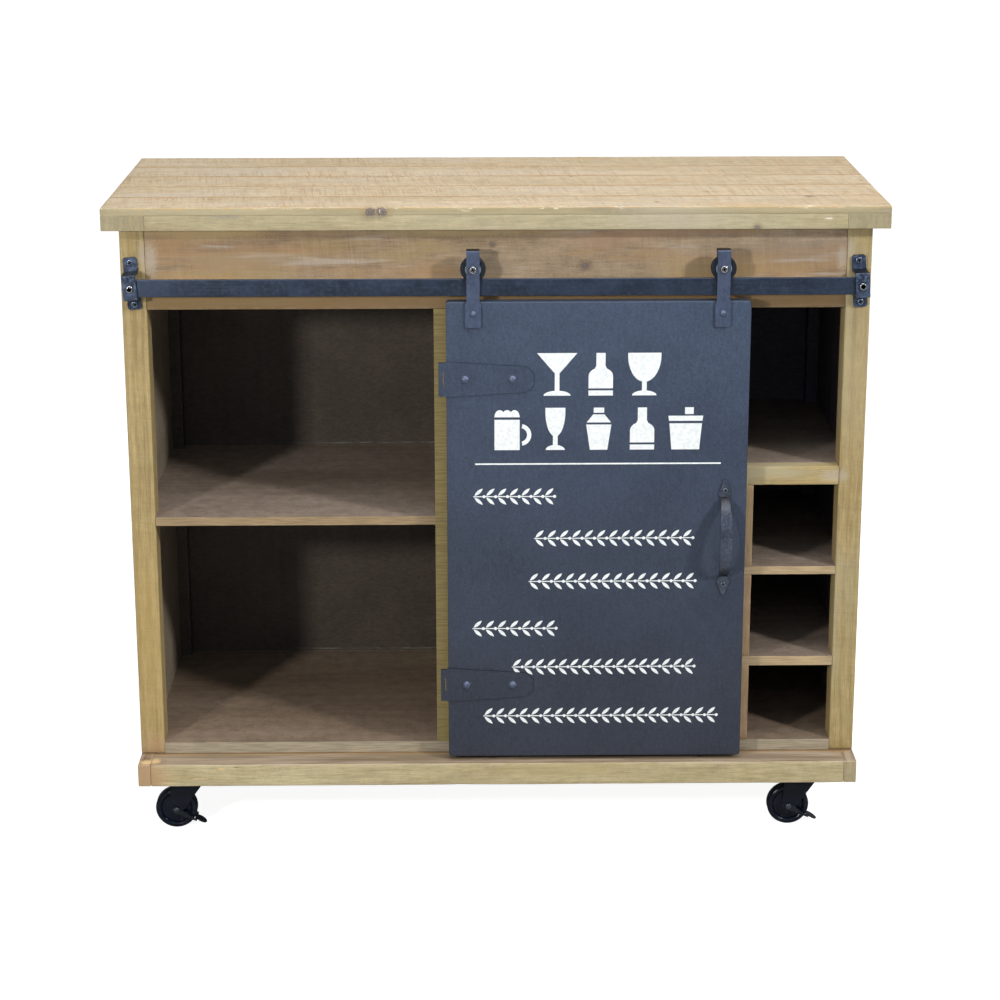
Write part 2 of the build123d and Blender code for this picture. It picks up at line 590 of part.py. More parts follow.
def make_wheel():
    """A moulded wheel: a tread with round shoulders, a sunk web and a hub boss."""
    bore = AXLE_RADIUS + RUNNING_GAP
    right = [(bore, HUB_HALF_WIDTH), (7.5, HUB_HALF_WIDTH), (8.5, 6.0), (19.5, 5.0)]
    right += [(21, WHEEL_HALF_WIDTH - 1), (22.5, WHEEL_HALF_WIDTH), (25.5, WHEEL_HALF_WIDTH)]
    right += [(27.2, WHEEL_HALF_WIDTH - 1.3), (WHEEL_RADIUS, WHEEL_HALF_WIDTH - 3.5)]
    left = [(radius, -y) for radius, y in reversed(right)]
    profile = make_face(Polyline(*(right + left), close=True))
    return Pos(-CASTER_TRAIL, 0, WHEEL_RADIUS) * revolve(profile, Axis.Y)


def make_axle(reach):
    """An axle bolt with a domed head in front and a nut behind, its grip reaching to each side."""
    shaft = rod_y(0, 0, -reach, reach + 4, AXLE_RADIUS)
    head = facing_front(0, -reach, 0) * rivet(4.2, 2.4, AXLE_RADIUS, 1)
    nut = hex_nut(0, 0, reach, reach + 3.2, 9, AXLE_RADIUS + FIT_GAP)
    place = Pos(-CASTER_TRAIL, 0, WHEEL_RADIUS)
    return [place * (shaft + head), place * nut]


def make_pedal():
    """A brake pedal: two arms on the axle, outside the fork, joined past the tread by a leaf."""
    inner = FORK_INNER + FORK_SHEET + 0.3
    outer = inner + PEDAL_SHEET
    bridge = WHEEL_RADIUS + 0.8
    arm = Plane.XZ * make_hull(Circle(4.4).edges() + (Pos(bridge, 0) * Circle(1.2)).edges())
    arms = Pos(0, outer, 0) * extrude(arm, 2 * outer)
    arms -= block((-60, 60), (-inner, inner), (-60, 60))
    pivot = AXLE_RADIUS + 0.3
    arms -= rod_y(0, 0, -outer - 1, outer + 1, pivot)
    tread = (-PEDAL_SHEET / 2, PEDAL_SHEET / 2)
    cross_bar = block((bridge - 0.2, bridge + 3), (-outer, outer), tread)
    leaf_start = bridge + 3
    widest = (leaf_start + PEDAL_REACH) / 2
    leaf_edges = [
        ThreePointArc((leaf_start - 1, -6), (widest, -8), (PEDAL_REACH, 0)),
        ThreePointArc((PEDAL_REACH, 0), (widest, 8), (leaf_start - 1, 6)),
        Line((leaf_start - 1, 6), (leaf_start - 1, -6)),
    ]
    leaf = Pos(0, 0, tread[0]) * extrude(make_face(leaf_edges), PEDAL_SHEET)
    pedal = arms + cross_bar + leaf
    return Pos(-CASTER_TRAIL, 0, WHEEL_RADIUS) * Rot(0, PEDAL_ANGLE, 0) * pedal


def make_casters():
    plates = []
    kingpins = []
    screws = []
    for row, row_name in enumerate(("front", "rear")):
        for side, (x, y) in zip(("left", "right"), caster_centres(row)):
            place = Pos(x, y, -CASTER_HEIGHT)
            name = f"{row_name}_{side}"
            plates.append(place * make_caster_plate())
            kingpins.append(place * make_kingpin())
            save(f"caster_fork_{name}", [place * make_fork()])
            save(f"caster_wheel_{name}", [place * make_wheel()])
            grip = FORK_INNER + FORK_SHEET
            if row_name == "front":
                grip += PEDAL_SHEET + 0.6
                save(f"brake_pedal_{side}", [place * make_pedal()])
            save(f"caster_axle_{name}", [place * solid for solid in make_axle(grip)])
        for x, y in caster_screw_points(row):
            screws.append(Pos(x, y, -PLATE_THICKNESS) * Rot(180, 0, 0) * cross_screw(4, 2, 2, 17))
    save("caster_plates", plates)
    save("caster_kingpins", kingpins)
    save("caster_plate_screws", screws)


os.makedirs("parts", exist_ok=True)
make_top()
make_posts()
make_panels()
make_dividers()
make_shelves()
make_base()
make_rail()
make_door()
make_hinge_straps()
make_pull()
make_hangers()
make_casters()
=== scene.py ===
import json
import random
from math import copysign, cos, exp, hypot, radians, sin, tau

import bmesh
import bpy
from mathutils import Euler, Matrix, Vector, geometry, noise

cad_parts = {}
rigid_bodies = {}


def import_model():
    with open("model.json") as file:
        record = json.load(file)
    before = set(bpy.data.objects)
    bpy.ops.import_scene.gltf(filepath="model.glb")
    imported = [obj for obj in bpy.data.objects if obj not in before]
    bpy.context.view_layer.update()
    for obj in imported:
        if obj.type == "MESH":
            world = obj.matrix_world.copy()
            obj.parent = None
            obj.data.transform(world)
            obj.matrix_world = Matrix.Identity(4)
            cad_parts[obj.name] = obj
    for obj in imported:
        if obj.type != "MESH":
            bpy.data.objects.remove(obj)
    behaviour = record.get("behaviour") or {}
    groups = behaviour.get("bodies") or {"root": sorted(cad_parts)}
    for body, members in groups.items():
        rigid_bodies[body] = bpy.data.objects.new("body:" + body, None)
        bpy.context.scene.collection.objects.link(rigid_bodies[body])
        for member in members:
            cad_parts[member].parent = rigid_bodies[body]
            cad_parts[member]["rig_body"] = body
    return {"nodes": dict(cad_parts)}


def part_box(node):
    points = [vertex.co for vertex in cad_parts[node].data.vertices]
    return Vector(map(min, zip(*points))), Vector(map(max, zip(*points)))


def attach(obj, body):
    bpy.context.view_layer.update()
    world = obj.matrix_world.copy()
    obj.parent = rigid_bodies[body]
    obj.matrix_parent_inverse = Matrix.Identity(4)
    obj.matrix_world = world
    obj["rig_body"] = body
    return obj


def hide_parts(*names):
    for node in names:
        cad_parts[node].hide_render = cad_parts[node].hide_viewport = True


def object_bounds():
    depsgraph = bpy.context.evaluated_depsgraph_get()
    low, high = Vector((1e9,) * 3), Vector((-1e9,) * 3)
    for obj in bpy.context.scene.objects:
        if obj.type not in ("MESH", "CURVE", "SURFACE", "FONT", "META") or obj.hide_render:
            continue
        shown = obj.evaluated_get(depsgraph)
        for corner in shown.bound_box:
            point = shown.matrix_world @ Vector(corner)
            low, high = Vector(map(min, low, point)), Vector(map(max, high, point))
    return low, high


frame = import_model()
cad_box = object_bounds()

MM = 0.001

# ---- the view and the studio ----
CAMERA_PLACE = (-0.0339, -3.3306, 1.3778)
CAMERA_PITCH = 16.254
CAMERA_YAW = 0.687
CAMERA_ROLL = 0.08
CAMERA_LENS = 90.37
SENSOR_WIDTH = 36
FLOOR_SIZE = 60
LIGHT_TARGET = (0, 0, 0.42)

# ---- the door's ornament, in millimetres from the door's lower left corner ----
HEADING_SIZE = 56
HEADING_PITCH = 56
STEM_WIDTH = 6
FOOT_HEIGHT = 6.5
# the rule's left, bottom, width and height
RULE = (36.5, 404.3, 318, 2)
# each border's left, right and bottom
BORDERS = ((34, 141, 351), (113, 322, 294), (106, 326, 235), (32, 144, 170), (84, 327, 116), (46, 358, 47))
BORDER_HEIGHT = 21
BORDER_PITCH = 15.5
BORDER_STEM = 1.2
BERRY = 4.2
LEAF_TILT = 42
LEAF_LENGTH = 14.5
LEAF_WIDTH = 4.4
# how far each plank of the top, from the front one on, lies below the highest, in millimetres
PLANK_DROPS = (0, 0.25, 0.05, 0.3, 0.1)

# ---- lengths in metres, angles in degrees, shares ----
PAINT_FILM = 0.2 * MM
HUB_RADIUS = 10 * MM
# how far apart a worn board's rings of points lie
STATION_PITCH = 9 * MM
BEVEL_SEGMENTS = 2
BEVEL_ANGLE = 28
PLY_RELIEF = 0.3 * MM
# how far the painted highlight along the foot of the back lies above a shelf
GAP_HIGHLIGHT_RISE = 3 * MM
# further than any knot, in radii of a knot
FAR_AWAY = 99
FRONT = (0, -1, 0)
# painted shade: how much darker the shelves are in the right bay, and towards the back
RIGHT_BAY_SHELF_PAINTED_SHADE = 0.84
REAR_PAINTED_SHADE = 0.88
# how much darker and redder the floor is than the shelves, channel by channel
FLOOR_DARKENING = (0.86, 0.81, 0.72)

# ---- wood tones, linear RGB ----
HONEY_LIGHT = (0.565, 0.46, 0.325)
HONEY = (0.47, 0.37, 0.235)
HONEY_DARK = (0.36, 0.225, 0.11)
ORANGE_STAIN = (0.5, 0.31, 0.13)
OLIVE_LIGHT = (0.44, 0.34, 0.16)
OLIVE = (0.36, 0.265, 0.115)
OLIVE_DARK = (0.21, 0.135, 0.05)
POST_AMBER = (0.5, 0.34, 0.105)
SAGE_LIGHT = (0.44, 0.385, 0.25)
SAGE = (0.37, 0.31, 0.18)
SAGE_DARK = (0.22, 0.17, 0.085)
SAGE_END = (0.3, 0.25, 0.145)
EDGE_LIGHT = (0.42, 0.36, 0.225)
EDGE_DARK = (0.35, 0.298, 0.175)
BASE_LIGHT = (0.54, 0.47, 0.28)
BASE = (0.45, 0.37, 0.2)
UMBER_LIGHT = (0.38, 0.29, 0.195)
UMBER = (0.29, 0.2, 0.12)
UMBER_DARK = (0.155, 0.09, 0.045)
HEADER_TONE_AND_RAIL_SHADE = (0.25, 0.15, 0.065)
SHELF_LIGHT = (0.33, 0.265, 0.215)
SHELF_BROWN = (0.235, 0.18, 0.14)
SHELF_DARK = (0.14, 0.095, 0.065)
BACK_BROWN = (0.085, 0.067, 0.054)
SIDE_BROWN = (0.32, 0.265, 0.2)
DIVIDER_BROWN = (0.17, 0.13, 0.1)
DIVIDER_EDGE = (0.32, 0.25, 0.1)
SEAM_STAIN = (0.3, 0.165, 0.065)
PURPLE_GREY = (0.17, 0.15, 0.165)
KNOT_HEART = (0.26, 0.22, 0.2)
KNOT_DARK = (0.1, 0.085, 0.09)
ROSY = (0.46, 0.29, 0.19)
LEDGE_BROWN = (0.225, 0.165, 0.115)
LEDGE_PINK = (0.4, 0.305, 0.235)
LEDGE_ORANGE = (0.4, 0.265, 0.115)
RED_END = (0.485, 0.285, 0.155)
CHIP = (0.72, 0.51, 0.27)
HEADER_ORANGE = (0.4, 0.245, 0.115)
PINK_LIPPING = (0.36, 0.255, 0.14)
CUBBY_LIPPING = (0.52, 0.385, 0.22)
FLOOR_LIPPING = (0.42, 0.36, 0.26)
STILE_ROSY = (0.405, 0.27, 0.16)
STILE_PINK = (0.335, 0.255, 0.155)
CHALK = (0.5, 0.44, 0.37)
GAP_PAINTED_HIGHLIGHT = (0.17, 0.175, 0.15)
RIGHT_BAY_PAINTED_SHADE = (0.095, 0.09, 0.125)
NICK = (0.8, 0.75, 0.62)
GREENISH = (0.3, 0.27, 0.1)

# ---- paint and metal tones, linear RGB ----
RIM_PAINTED_SHADE = (0.005, 0.006, 0.009)
SCREW_RECESS_SHADE = (0.004, 0.005, 0.007)
ZINC = (0.55, 0.56, 0.58)
BLUED = (0.3, 0.37, 0.5)
PAINTED = (0.24, 0.28, 0.34)
CHARCOAL_LOW = (0.026, 0.031, 0.048)
CHARCOAL_PAINTED_REFLECTION = (0.045, 0.067, 0.115)
DOOR_CHALK = (0.1, 0.11, 0.13)
PAINT_THIN = (0.78, 0.83, 0.85)
PAINT_WHITE = (0.9, 0.93, 0.93)


# ---- material recipes ----
def scaled(tone, factor):
    return tuple(channel * factor for channel in tone)


class Recipe:
    """A material under construction: its colour so far, and short calls for the nodes it is made of."""

    def __init__(self, name, colour=None):
        self.material = bpy.data.materials.new(name)
        self.material.use_nodes = True
        self.tree = self.material.node_tree
        self.shader = self.tree.nodes["Principled BSDF"]
        coordinates = self.node("TexCoord")
        self.place = coordinates.outputs["Object"]
        self.facing = coordinates.outputs["Normal"]
        self.colour = colour

    def node(self, kind):
        return self.tree.nodes.new(f"ShaderNode{kind}")

    def feed(self, socket, value):
        if isinstance(value, bpy.types.NodeSocket):
            self.tree.links.new(value, socket)
        elif isinstance(value, tuple) and len(value) == 3 and socket.type == "RGBA":
            socket.default_value = (*value, 1)
        else:
            socket.default_value = value

    def feed_all(self, node, values):
        for socket, value in zip(node.inputs, values):
            self.feed(socket, value)
        return node.outputs[0]

    def fill(self, node, entries):
        for key, value in entries.items():
            self.feed(node.inputs[key], value)
        return node

    def attribute(self, name):
        node = self.node("Attribute")
        node.attribute_name = name
        return node.outputs["Fac"]

    def math(self, operation, *values):
        node = self.node("Math")
        node.operation = operation
        return self.feed_all(node, (*values, 0, 0)[:3])

    def times(self, a, b, plus=None):
        return self.math("MULTIPLY", a, b) if plus is None else self.math("MULTIPLY_ADD", a, b, plus)

    def minus(self, a, b):
        return self.math("SUBTRACT", a, b)

    def vary(self, base, pattern, strength):
        """A value that a pattern pushes up and down."""
        return self.times(self.minus(pattern, 0.5), strength, base)

    def vector(self, operation, a, b=(0, 0, 0)):
        node = self.node("VectorMath")
        node.operation = operation
        self.feed_all(node, (a, b))
        return node.outputs["Value" if operation in ("LENGTH", "DOT_PRODUCT") else "Vector"]

    def stretch(self, vector, scale):
        return self.vector("MULTIPLY", vector, scale)

    def away(self, centre, scale):
        """How far a spot is from a centre, with each axis stretched."""
        offset = self.vector("SUBTRACT", self.place, tuple(centre))
        return self.vector("LENGTH", self.stretch(offset, scale))

    def split(self, vector=None):
        node = self.node("SeparateXYZ")
        self.feed(node.inputs[0], vector or self.place)
        return tuple(node.outputs)

    def join(self, x, y, z):
        return self.feed_all(self.node("CombineXYZ"), (x, y, z))

    def noise(self, scale, detail=2, roughness=0.5, distortion=0, at=None):
        """Noise with this many features a metre: one number, or three along X, Y and Z."""
        at = at or self.place
        if isinstance(scale, tuple):
            at, scale = self.stretch(at, scale), 1
        entries = {"Vector": at, "Scale": scale, "Detail": detail, "Roughness": roughness,
                   "Distortion": distortion}
        return self.fill(self.node("TexNoise"), entries).outputs["Fac"]

    def span(self, value, low, high, start=0, end=1):
        """Maps low..high onto start..end, smoothly and clamped."""
        node = self.node("MapRange")
        node.interpolation_type = "SMOOTHSTEP"
        return self.feed_all(node, (value, low, high, start, end))

    def looks(self, axis, low=0.6, high=0.9):
        """1 on surfaces that look along an axis, 0 elsewhere."""
        return self.span(self.vector("DOT_PRODUCT", self.facing, axis), low, high)

    def mix(self, factor, a, b, blend="MIX"):
        node = self.node("Mix")
        node.data_type = "RGBA"
        node.blend_type = blend
        colours = [socket for socket in node.inputs if socket.type == "RGBA"]
        self.feed(node.inputs[0], factor)
        self.feed(colours[0], a)
        self.feed(colours[1], b)
        return next(socket for socket in node.outputs if socket.type == "RGBA")

    def cover(self, tone, factor):
        """Another tone over the colour so far."""
        self.colour = self.mix(factor, self.colour, tone)

    def layer(self, tone, pattern, low, high, strength=1):
        """Another tone, which sets in where a pattern goes from low to high."""
        self.cover(tone, self.span(pattern, low, high, 0, strength))

    def shaded(self, colour, factor):
        return self.mix(1, colour, self.join(factor, factor, factor), "MULTIPLY")

    def shade(self, factor):
        """Multiplies the colour by a grey value."""
        self.colour = self.shaded(self.colour, factor)

    def outline(self):
        """Blackens the rims of flat straps that look to the front: painted shade along their edges."""
        self.cover(RIM_PAINTED_SHADE, self.looks(FRONT, 0.92, 0.5))

    def bump(self, height, distance, strength):
        node = self.fill(self.node("Bump"), {"Distance": distance, "Strength": strength, "Height": height})
        self.feed(self.shader.inputs["Normal"], node.outputs[0])

    def finish(self, roughness, metallic=0, specular=0.5):
        self.fill(self.shader, {"Base Color": self.colour, "Roughness": roughness, "Metallic": metallic,
                                "Specular IOR Level": specular})
        return self.material


class Wood(Recipe):
    """Stained wood, built up by one call after another: each changes the colour or the height so far."""

    def __init__(self, name, grain, light, middle, dark):
        super().__init__(name, middle)
        self.grain = grain
        self.light, self.dark = light, dark
        x, y, z = self.split()
        turned = {"X": (x, y, z), "Y": (y, z, x), "Z": (z, x, y)}[grain]
        seed = self.attribute("seed")
        self.spot = self.vector("ADD", self.join(*turned), self.join(seed, seed, seed))
        self.height = 0
        self.rough = 0.6

    def lines(self, along, across, detail=3):
        """Noise drawn out along the grain, with this many features a metre each way."""
        return self.noise((along, across, across), detail, 0.6, at=self.spot)

    def figure(self, rings=60, wander=24, ring_depth=0.3, streaks=0.4, fine=0.3, mottle=0.2):
        """Growth rings, broad tone, streaks along the grain, fine fibres and an uneven stain."""
        self.layer(self.light, self.lines(1.8, 10), 0.3, 0.7)
        _, across, deep = self.split(self.spot)
        phase = self.times(self.times(deep, 0.35, across), rings * tau)
        phase = self.times(self.lines(2.4, 8, 2), wander, phase)
        self.layer(self.dark, self.math("SINE", phase), 0.1, 1, ring_depth)
        streak = self.lines(5, 150, 4)
        self.layer(self.dark, streak, 0.52, 0.72, streaks)
        self.layer(self.light, streak, 0.46, 0.3, streaks)
        self.layer(self.light, self.lines(7, 420, 1), 0.58, 0.7, 0.9 * streaks)
        fibre = self.lines(38, 620, 2)
        grey = self.vary(1, fibre, -2.4 * fine)
        grey = self.vary(grey, self.noise(58, 5, 0.65, at=self.spot), -2.4 * mottle)
        grey = self.vary(grey, self.noise(480, 2, 0.7, at=self.spot), -1.6 * mottle)
        self.shade(grey)
        self.layer(self.dark, self.lines(70, 1100, 1), 0.66, 0.76, 0.5)
        self.height = self.times(streak, 0.5, self.times(fibre, -0.4))
        self.rough = self.span(streak, 0.3, 0.7, 0.48, 0.66)

    def sawn(self, strength, dark, pale):
        """Marks of a band saw across the grain, strong in some patches and faint in others."""
        x, y, z = self.split(self.spot)
        across = self.math("ADD", y, z)
        lean = self.times(self.lines(1.2, 0.8, 0), 0.05, x)
        line = self.join(self.times(across, 0.1, lean), across, 0)
        fine = self.noise((520, 14, 1), 1, 0.6, at=line)
        coarse = self.noise((170, 8, 1), 1, at=line)
        marks = self.times(coarse, 0.4, self.times(fine, 0.6))
        patch = self.span(self.lines(7, 20, 2), 0.38, 0.62, 0.25 * strength, strength)
        self.cover(dark, self.times(self.span(marks, 0.48, 0.66), patch))
        self.cover(pale, self.times(self.span(marks, 0.5, 0.34), patch))
        self.height = self.times(marks, -1.2, self.height)

    def tint(self, tone, strength, low=0.55, along=3, across=14):
        """Soft patches of another stain, where a slow noise is above low."""
        shifted = self.vector("ADD", self.stretch(self.spot, (along, across, across)), tone)
        self.layer(tone, self.noise(1, 3, 0.6, at=shifted), low, low + 0.12, strength)

    def smudge(self, tone, strength, *places):
        """Ragged smears at given places: each is a centre and its reach along X, Y and Z."""
        grit = self.noise(330, 3, 0.7)
        for centre, reach in places:
            far = self.away(centre, tuple(1 / each for each in reach))
            self.layer(tone, self.times(grit, -1.3, self.minus(1.65, far)), 0, 0.75, strength)

    def knots(self, *places):
        """Dark knots with a rosy rim and rings inside: each is a centre and a radius."""
        nearest = FAR_AWAY
        for centre, radius in places:
            far = self.away(centre, (0.8 / radius, 1 / radius, 1 / radius))
            nearest = self.math("MINIMUM", nearest, far)
        reach = self.vary(nearest, self.noise(240, 4, 0.7), 1.3)
        rings = self.math("SINE", self.times(reach, 15))
        heart = self.mix(self.span(rings, -0.4, 0.9, 0, 0.8), KNOT_DARK, KNOT_HEART)
        self.layer(self.dark, reach, 2.4, 1, 0.45)
        self.layer(heart, reach, 1.25, 0.6, 0.85)
        self.height = self.times(self.span(reach, 1.3, 0.9), 0.6, self.height)

    def specks(self, tone, strength=0.7, low=0.7):
        """Small scattered dark flecks."""
        self.layer(tone, self.noise(150, 1, at=self.spot), low, low + 0.06, strength)

    def worn(self, tone, strength, reach=1, solid=0, where=1):
        """Another tone along the edges: broken up by noise, or unbroken as solid nears 1."""
        edge = self.math("POWER", self.attribute("wear"), 1 / reach)
        breakup = self.span(self.lines(50, 190), 0.4, 0.6, solid, 1)
        self.cover(tone, self.times(self.times(self.times(edge, breakup), strength), where))

    def ends(self, tone, strength=0.85):
        """End grain, on surfaces that look along the grain."""
        axis = {"X": (1, 0, 0), "Y": (0, 1, 0), "Z": (0, 0, 1)}[self.grain]
        along = self.math("ABSOLUTE", self.vector("DOT_PRODUCT", self.facing, axis))
        rings = self.noise((8, 60, 320), 3, distortion=0.6, at=self.spot)
        face = self.mix(self.span(rings, 0.35, 0.65), scaled(tone, 0.62), tone)
        self.layer(face, along, 0.75, 0.95, strength)

    def indoors(self, tone):
        """Painted shade: a darker brown on every surface inside the walls that looks towards the middle of
        the cabinet.

        The painted shade is colder in the right bay.
        """
        low, high = cad_box
        middle = tuple((a + b) / 2 for a, b in zip(low, high))
        inward = self.vector("SUBTRACT", middle, self.place)
        inside = self.span(self.vector("DOT_PRODUCT", inward, self.facing), 0, 0.02)
        x, y, _ = self.split()
        side_low, side_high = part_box("side_panel_right")
        back_low, back_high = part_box("back_panel")
        aside = self.math("ABSOLUTE", self.minus(x, middle[0]))
        inside = self.times(inside, self.span(aside, side_high.x, side_low.x))
        inside = self.times(inside, self.span(y, back_high.y, back_low.y))
        blotch = self.span(self.noise(11, 5, 0.6, at=self.spot), 0.3, 0.7)
        dim = self.mix(blotch, scaled(tone, 0.78), tone)
        divider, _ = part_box("divider_right")
        # a colder painted shade in the right bay
        dim = self.mix(self.span(x, divider.x, divider.x + 0.01, 0, 0.8), dim, RIGHT_BAY_PAINTED_SHADE)
        grit = self.span(self.noise((150, 150, 420), 3, 0.7), 0.3, 0.7, 0.8, 1.16)
        self.cover(self.shaded(dim, grit), inside)

    def lipping(self, tone):
        """The raw strip along a board's front edge."""
        plies = self.noise((30, 1, 520), 3)
        edge = self.mix(self.span(plies, 0.35, 0.65), scaled(tone, 0.72), tone)
        self.cover(edge, self.looks(FRONT))

    def done(self, relief=0.0006, specular=0.35):
        self.bump(self.height, relief, 0.6)
        return self.finish(self.rough, specular=specular)


def dark_steel(name, tone, sheen, roughness, brushed_along="X", rim_shade=False, mottled=0.45,
               highlight_end=None):
    """Blue-black lacquered steel, mottled and faintly brushed. A dark rim of painted shade outlines flat
    straps.

    A painted highlight at one end fades out along X from that place on.
    """
    steel = Recipe(name, tone)
    brushed = steel.noise({"X": (14, 420, 420), "Z": (420, 420, 14)}[brushed_along], 3, 0.6)
    mottle = steel.noise(210, 5, 0.7)
    steel.layer(sheen, steel.noise(22), 0.3, 0.7, 0.4)
    steel.layer(sheen, mottle, 0.45, 0.7, mottled)
    steel.layer(sheen, brushed, 0.5, 0.75, 0.45)
    steel.layer(sheen, steel.noise(1300), 0.62, 0.8, 0.3)
    # a painted highlight fading out from one end
    if highlight_end is not None:
        x, _, _ = steel.split()
        steel.layer(sheen, x, highlight_end + 0.13, highlight_end, 0.6)
    # a black rim of painted shade round flat straps
    if rim_shade:
        steel.outline()
    steel.bump(steel.math("ADD", brushed, mottle), 0.00016, 0.45)
    return steel.finish(steel.span(mottle, 0.3, 0.7, roughness - 0.05, roughness + 0.1), 0.3)


def screw_metal(node, tone, roughness, recess_shade=True):
    """Plated screws. Where they face the front, their recesses and rims are blackened with painted shade.
    """
    metal = Recipe(f"{node}_steel", tone)
    mottle = metal.noise(700, 3)
    metal.layer(scaled(tone, 0.7), mottle, 0.35, 0.65)
    if recess_shade:
        # painted shade on what lies deeper than the head's front: the recess and the rim
        low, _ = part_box(node)
        _, y, _ = metal.split()
        metal.layer(SCREW_RECESS_SHADE, y, low.y + 0.35 * MM, low.y + 0.75 * MM)
    metal.bump(mottle, 0.00008, 0.5)
    return metal.finish(metal.span(mottle, 0.3, 0.7, roughness, roughness + 0.15), 0.9)


def door_paint(name, brighter=1, rim_shade=False):
    """Charcoal paint with a fine roller texture and pale chalky flecks. From the foot up it grows bluer and
    paler: a painted reflection of the bluish light above.
    """
    paint = Recipe(name, CHARCOAL_LOW)
    low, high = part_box("door_panel")
    _, _, z = paint.split()
    cloud = paint.noise(7, 5, 0.6)
    roller = paint.noise(430, 3, 0.6)
    brush = paint.noise((260, 1, 70), 3, 0.6)
    # painted reflection: bluer and lighter towards the top of the door
    paint.layer(CHARCOAL_PAINTED_REFLECTION, z, low.z - 0.1, high.z + 0.1)
    fade = paint.span(cloud, 0.3, 0.7, 0.9 * brighter, 1.1 * brighter)
    paint.shade(paint.vary(paint.vary(fade, roller, 1.1), brush, 0.5))
    paint.layer(DOOR_CHALK, paint.noise(210), 0.7, 0.76, 0.35)
    # a black rim of painted shade round flat straps
    if rim_shade:
        paint.outline()
    paint.bump(paint.times(brush, 0.5, roller), 0.0003, 0.55)
    return paint.finish(paint.span(cloud, 0.3, 0.7, 0.44, 0.54))


def white_paint():
    """Stencilled paint, a little thin in places."""
    paint = Recipe("white_stencil_paint", PAINT_THIN)
    patchy = paint.noise(260, 3)
    paint.layer(PAINT_WHITE, patchy, 0.35, 0.6)
    paint.bump(patchy, 0.0002, 0.5)
    return paint.finish(0.55)


def black_moulding(name, tone, roughness):
    """Black plastic or gloss paint with a slight orange peel."""
    black = Recipe(name, tone)
    mottle = black.noise(120, 4)
    black.layer(scaled(tone, 2), mottle, 0.3, 0.75)
    black.bump(black.math("ADD", mottle, black.noise(1400)), 0.0001, 0.4)
    return black.finish(black.span(mottle, 0.3, 0.7, roughness, roughness + 0.15), specular=0.25)


def roller_finish(node):
    """A black tyre round a zinc hub."""
    roller = Recipe(f"{node}_finish")
    low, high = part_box(node)
    away = roller.away((low + high) / 2, (1, 0, 1))
    mottle = roller.noise(300, 3)
    roller.colour = roller.mix(mottle, (0.2, 0.22, 0.25), (0.34, 0.36, 0.4))
    black = roller.mix(mottle, (0.006, 0.008, 0.013), (0.014, 0.018, 0.028))
    roller.layer(black, away, HUB_RADIUS - 0.2 * MM, HUB_RADIUS + 0.2 * MM)
    roller.bump(mottle, 0.0001, 0.4)
    return roller.finish(roller.span(mottle, 0.3, 0.7, 0.32, 0.48), specular=0.35)


def choose(tree, lighting, seen, output):
    """Gives the camera one shader and all other light another."""
    path = tree.nodes.new("ShaderNodeLightPath")
    chooser = tree.nodes.new("ShaderNodeMixShader")
    tree.links.new(path.outputs["Is Camera Ray"], chooser.inputs[0])
    tree.links.new(lighting.outputs[0], chooser.inputs[1])
    tree.links.new(seen.outputs[0], chooser.inputs[2])
    tree.links.new(chooser.outputs[0], tree.nodes[output].inputs["Surface"])


def pale_floor():
    """White to the camera, but for soft shadows near the middle, and dull grey to other light."""
    floor = Recipe("studio_floor")
    floor.colour = floor.mix(floor.noise(3, 3), (0.36, 0.36, 0.36), (0.4, 0.4, 0.4))
    floor.finish(0.9, specular=0.1)
    glow = floor.node("Emission")
    away = floor.vector("LENGTH", floor.place)
    floor.feed(glow.inputs["Strength"], floor.span(away, 0.6, 2.4, 0.92, 1))
    matte = floor.node("BsdfDiffuse")
    matte.inputs["Color"].default_value = (0.5, 0.5, 0.5, 1)
    seen = floor.node("AddShader")
    floor.feed_all(seen, (glow.outputs[0], matte.outputs[0]))
    choose(floor.tree, floor.shader, seen, "Material Output")
    return floor.material


# ---- mesh helpers ----
def add(name, data):
    item = bpy.data.objects.new(name, data)
    bpy.context.scene.collection.objects.link(item)
    return item


def baked(build, name):
    """A mesh from one under construction, with its faces turned outwards."""
    bmesh.ops.recalc_face_normals(build, faces=build.faces[:])
    mesh = bpy.data.meshes.new(name)
    build.to_mesh(mesh)
    build.free()
    return mesh


def new_object(name, mesh, material, smooth=True):
    piece = add(name, mesh)
    mesh.materials.clear()
    mesh.materials.append(material)
    for face in mesh.polygons:
        face.use_smooth = smooth
    return piece


def board_section(width, depth, radii, ease):
    """A rounded rectangle's points with their wear, counter-clockwise from the low corner."""
    points = []
    corners = ((0, 0, 180), (width, 0, 270), (width, depth, 0), (0, depth, 90))
    signs = ((1, 1), (-1, 1), (-1, -1), (1, -1))
    for index, (corner, sign, radius) in enumerate(zip(corners, signs, radii)):
        centre = (corner[0] + sign[0] * radius, corner[1] + sign[1] * radius)
        for step in range(4):
            angle = radians(corner[2] + 30 * step)
            points.append((centre[0] + radius * cos(angle), centre[1] + radius * sin(angle), 1.0))
        following = corners[(index + 1) % 4]
        length = hypot(following[0] - corner[0], following[1] - corner[1])
        run = min(ease, 0.3 * length)
        way = ((following[0] - corner[0]) / length, (following[1] - corner[1]) / length)
        for distance in (radius + run, length / 2, length - radii[(index + 1) % 4] - run):
            points.append((corner[0] + way[0] * distance, corner[1] + way[1] * distance, 0.0))
    return points


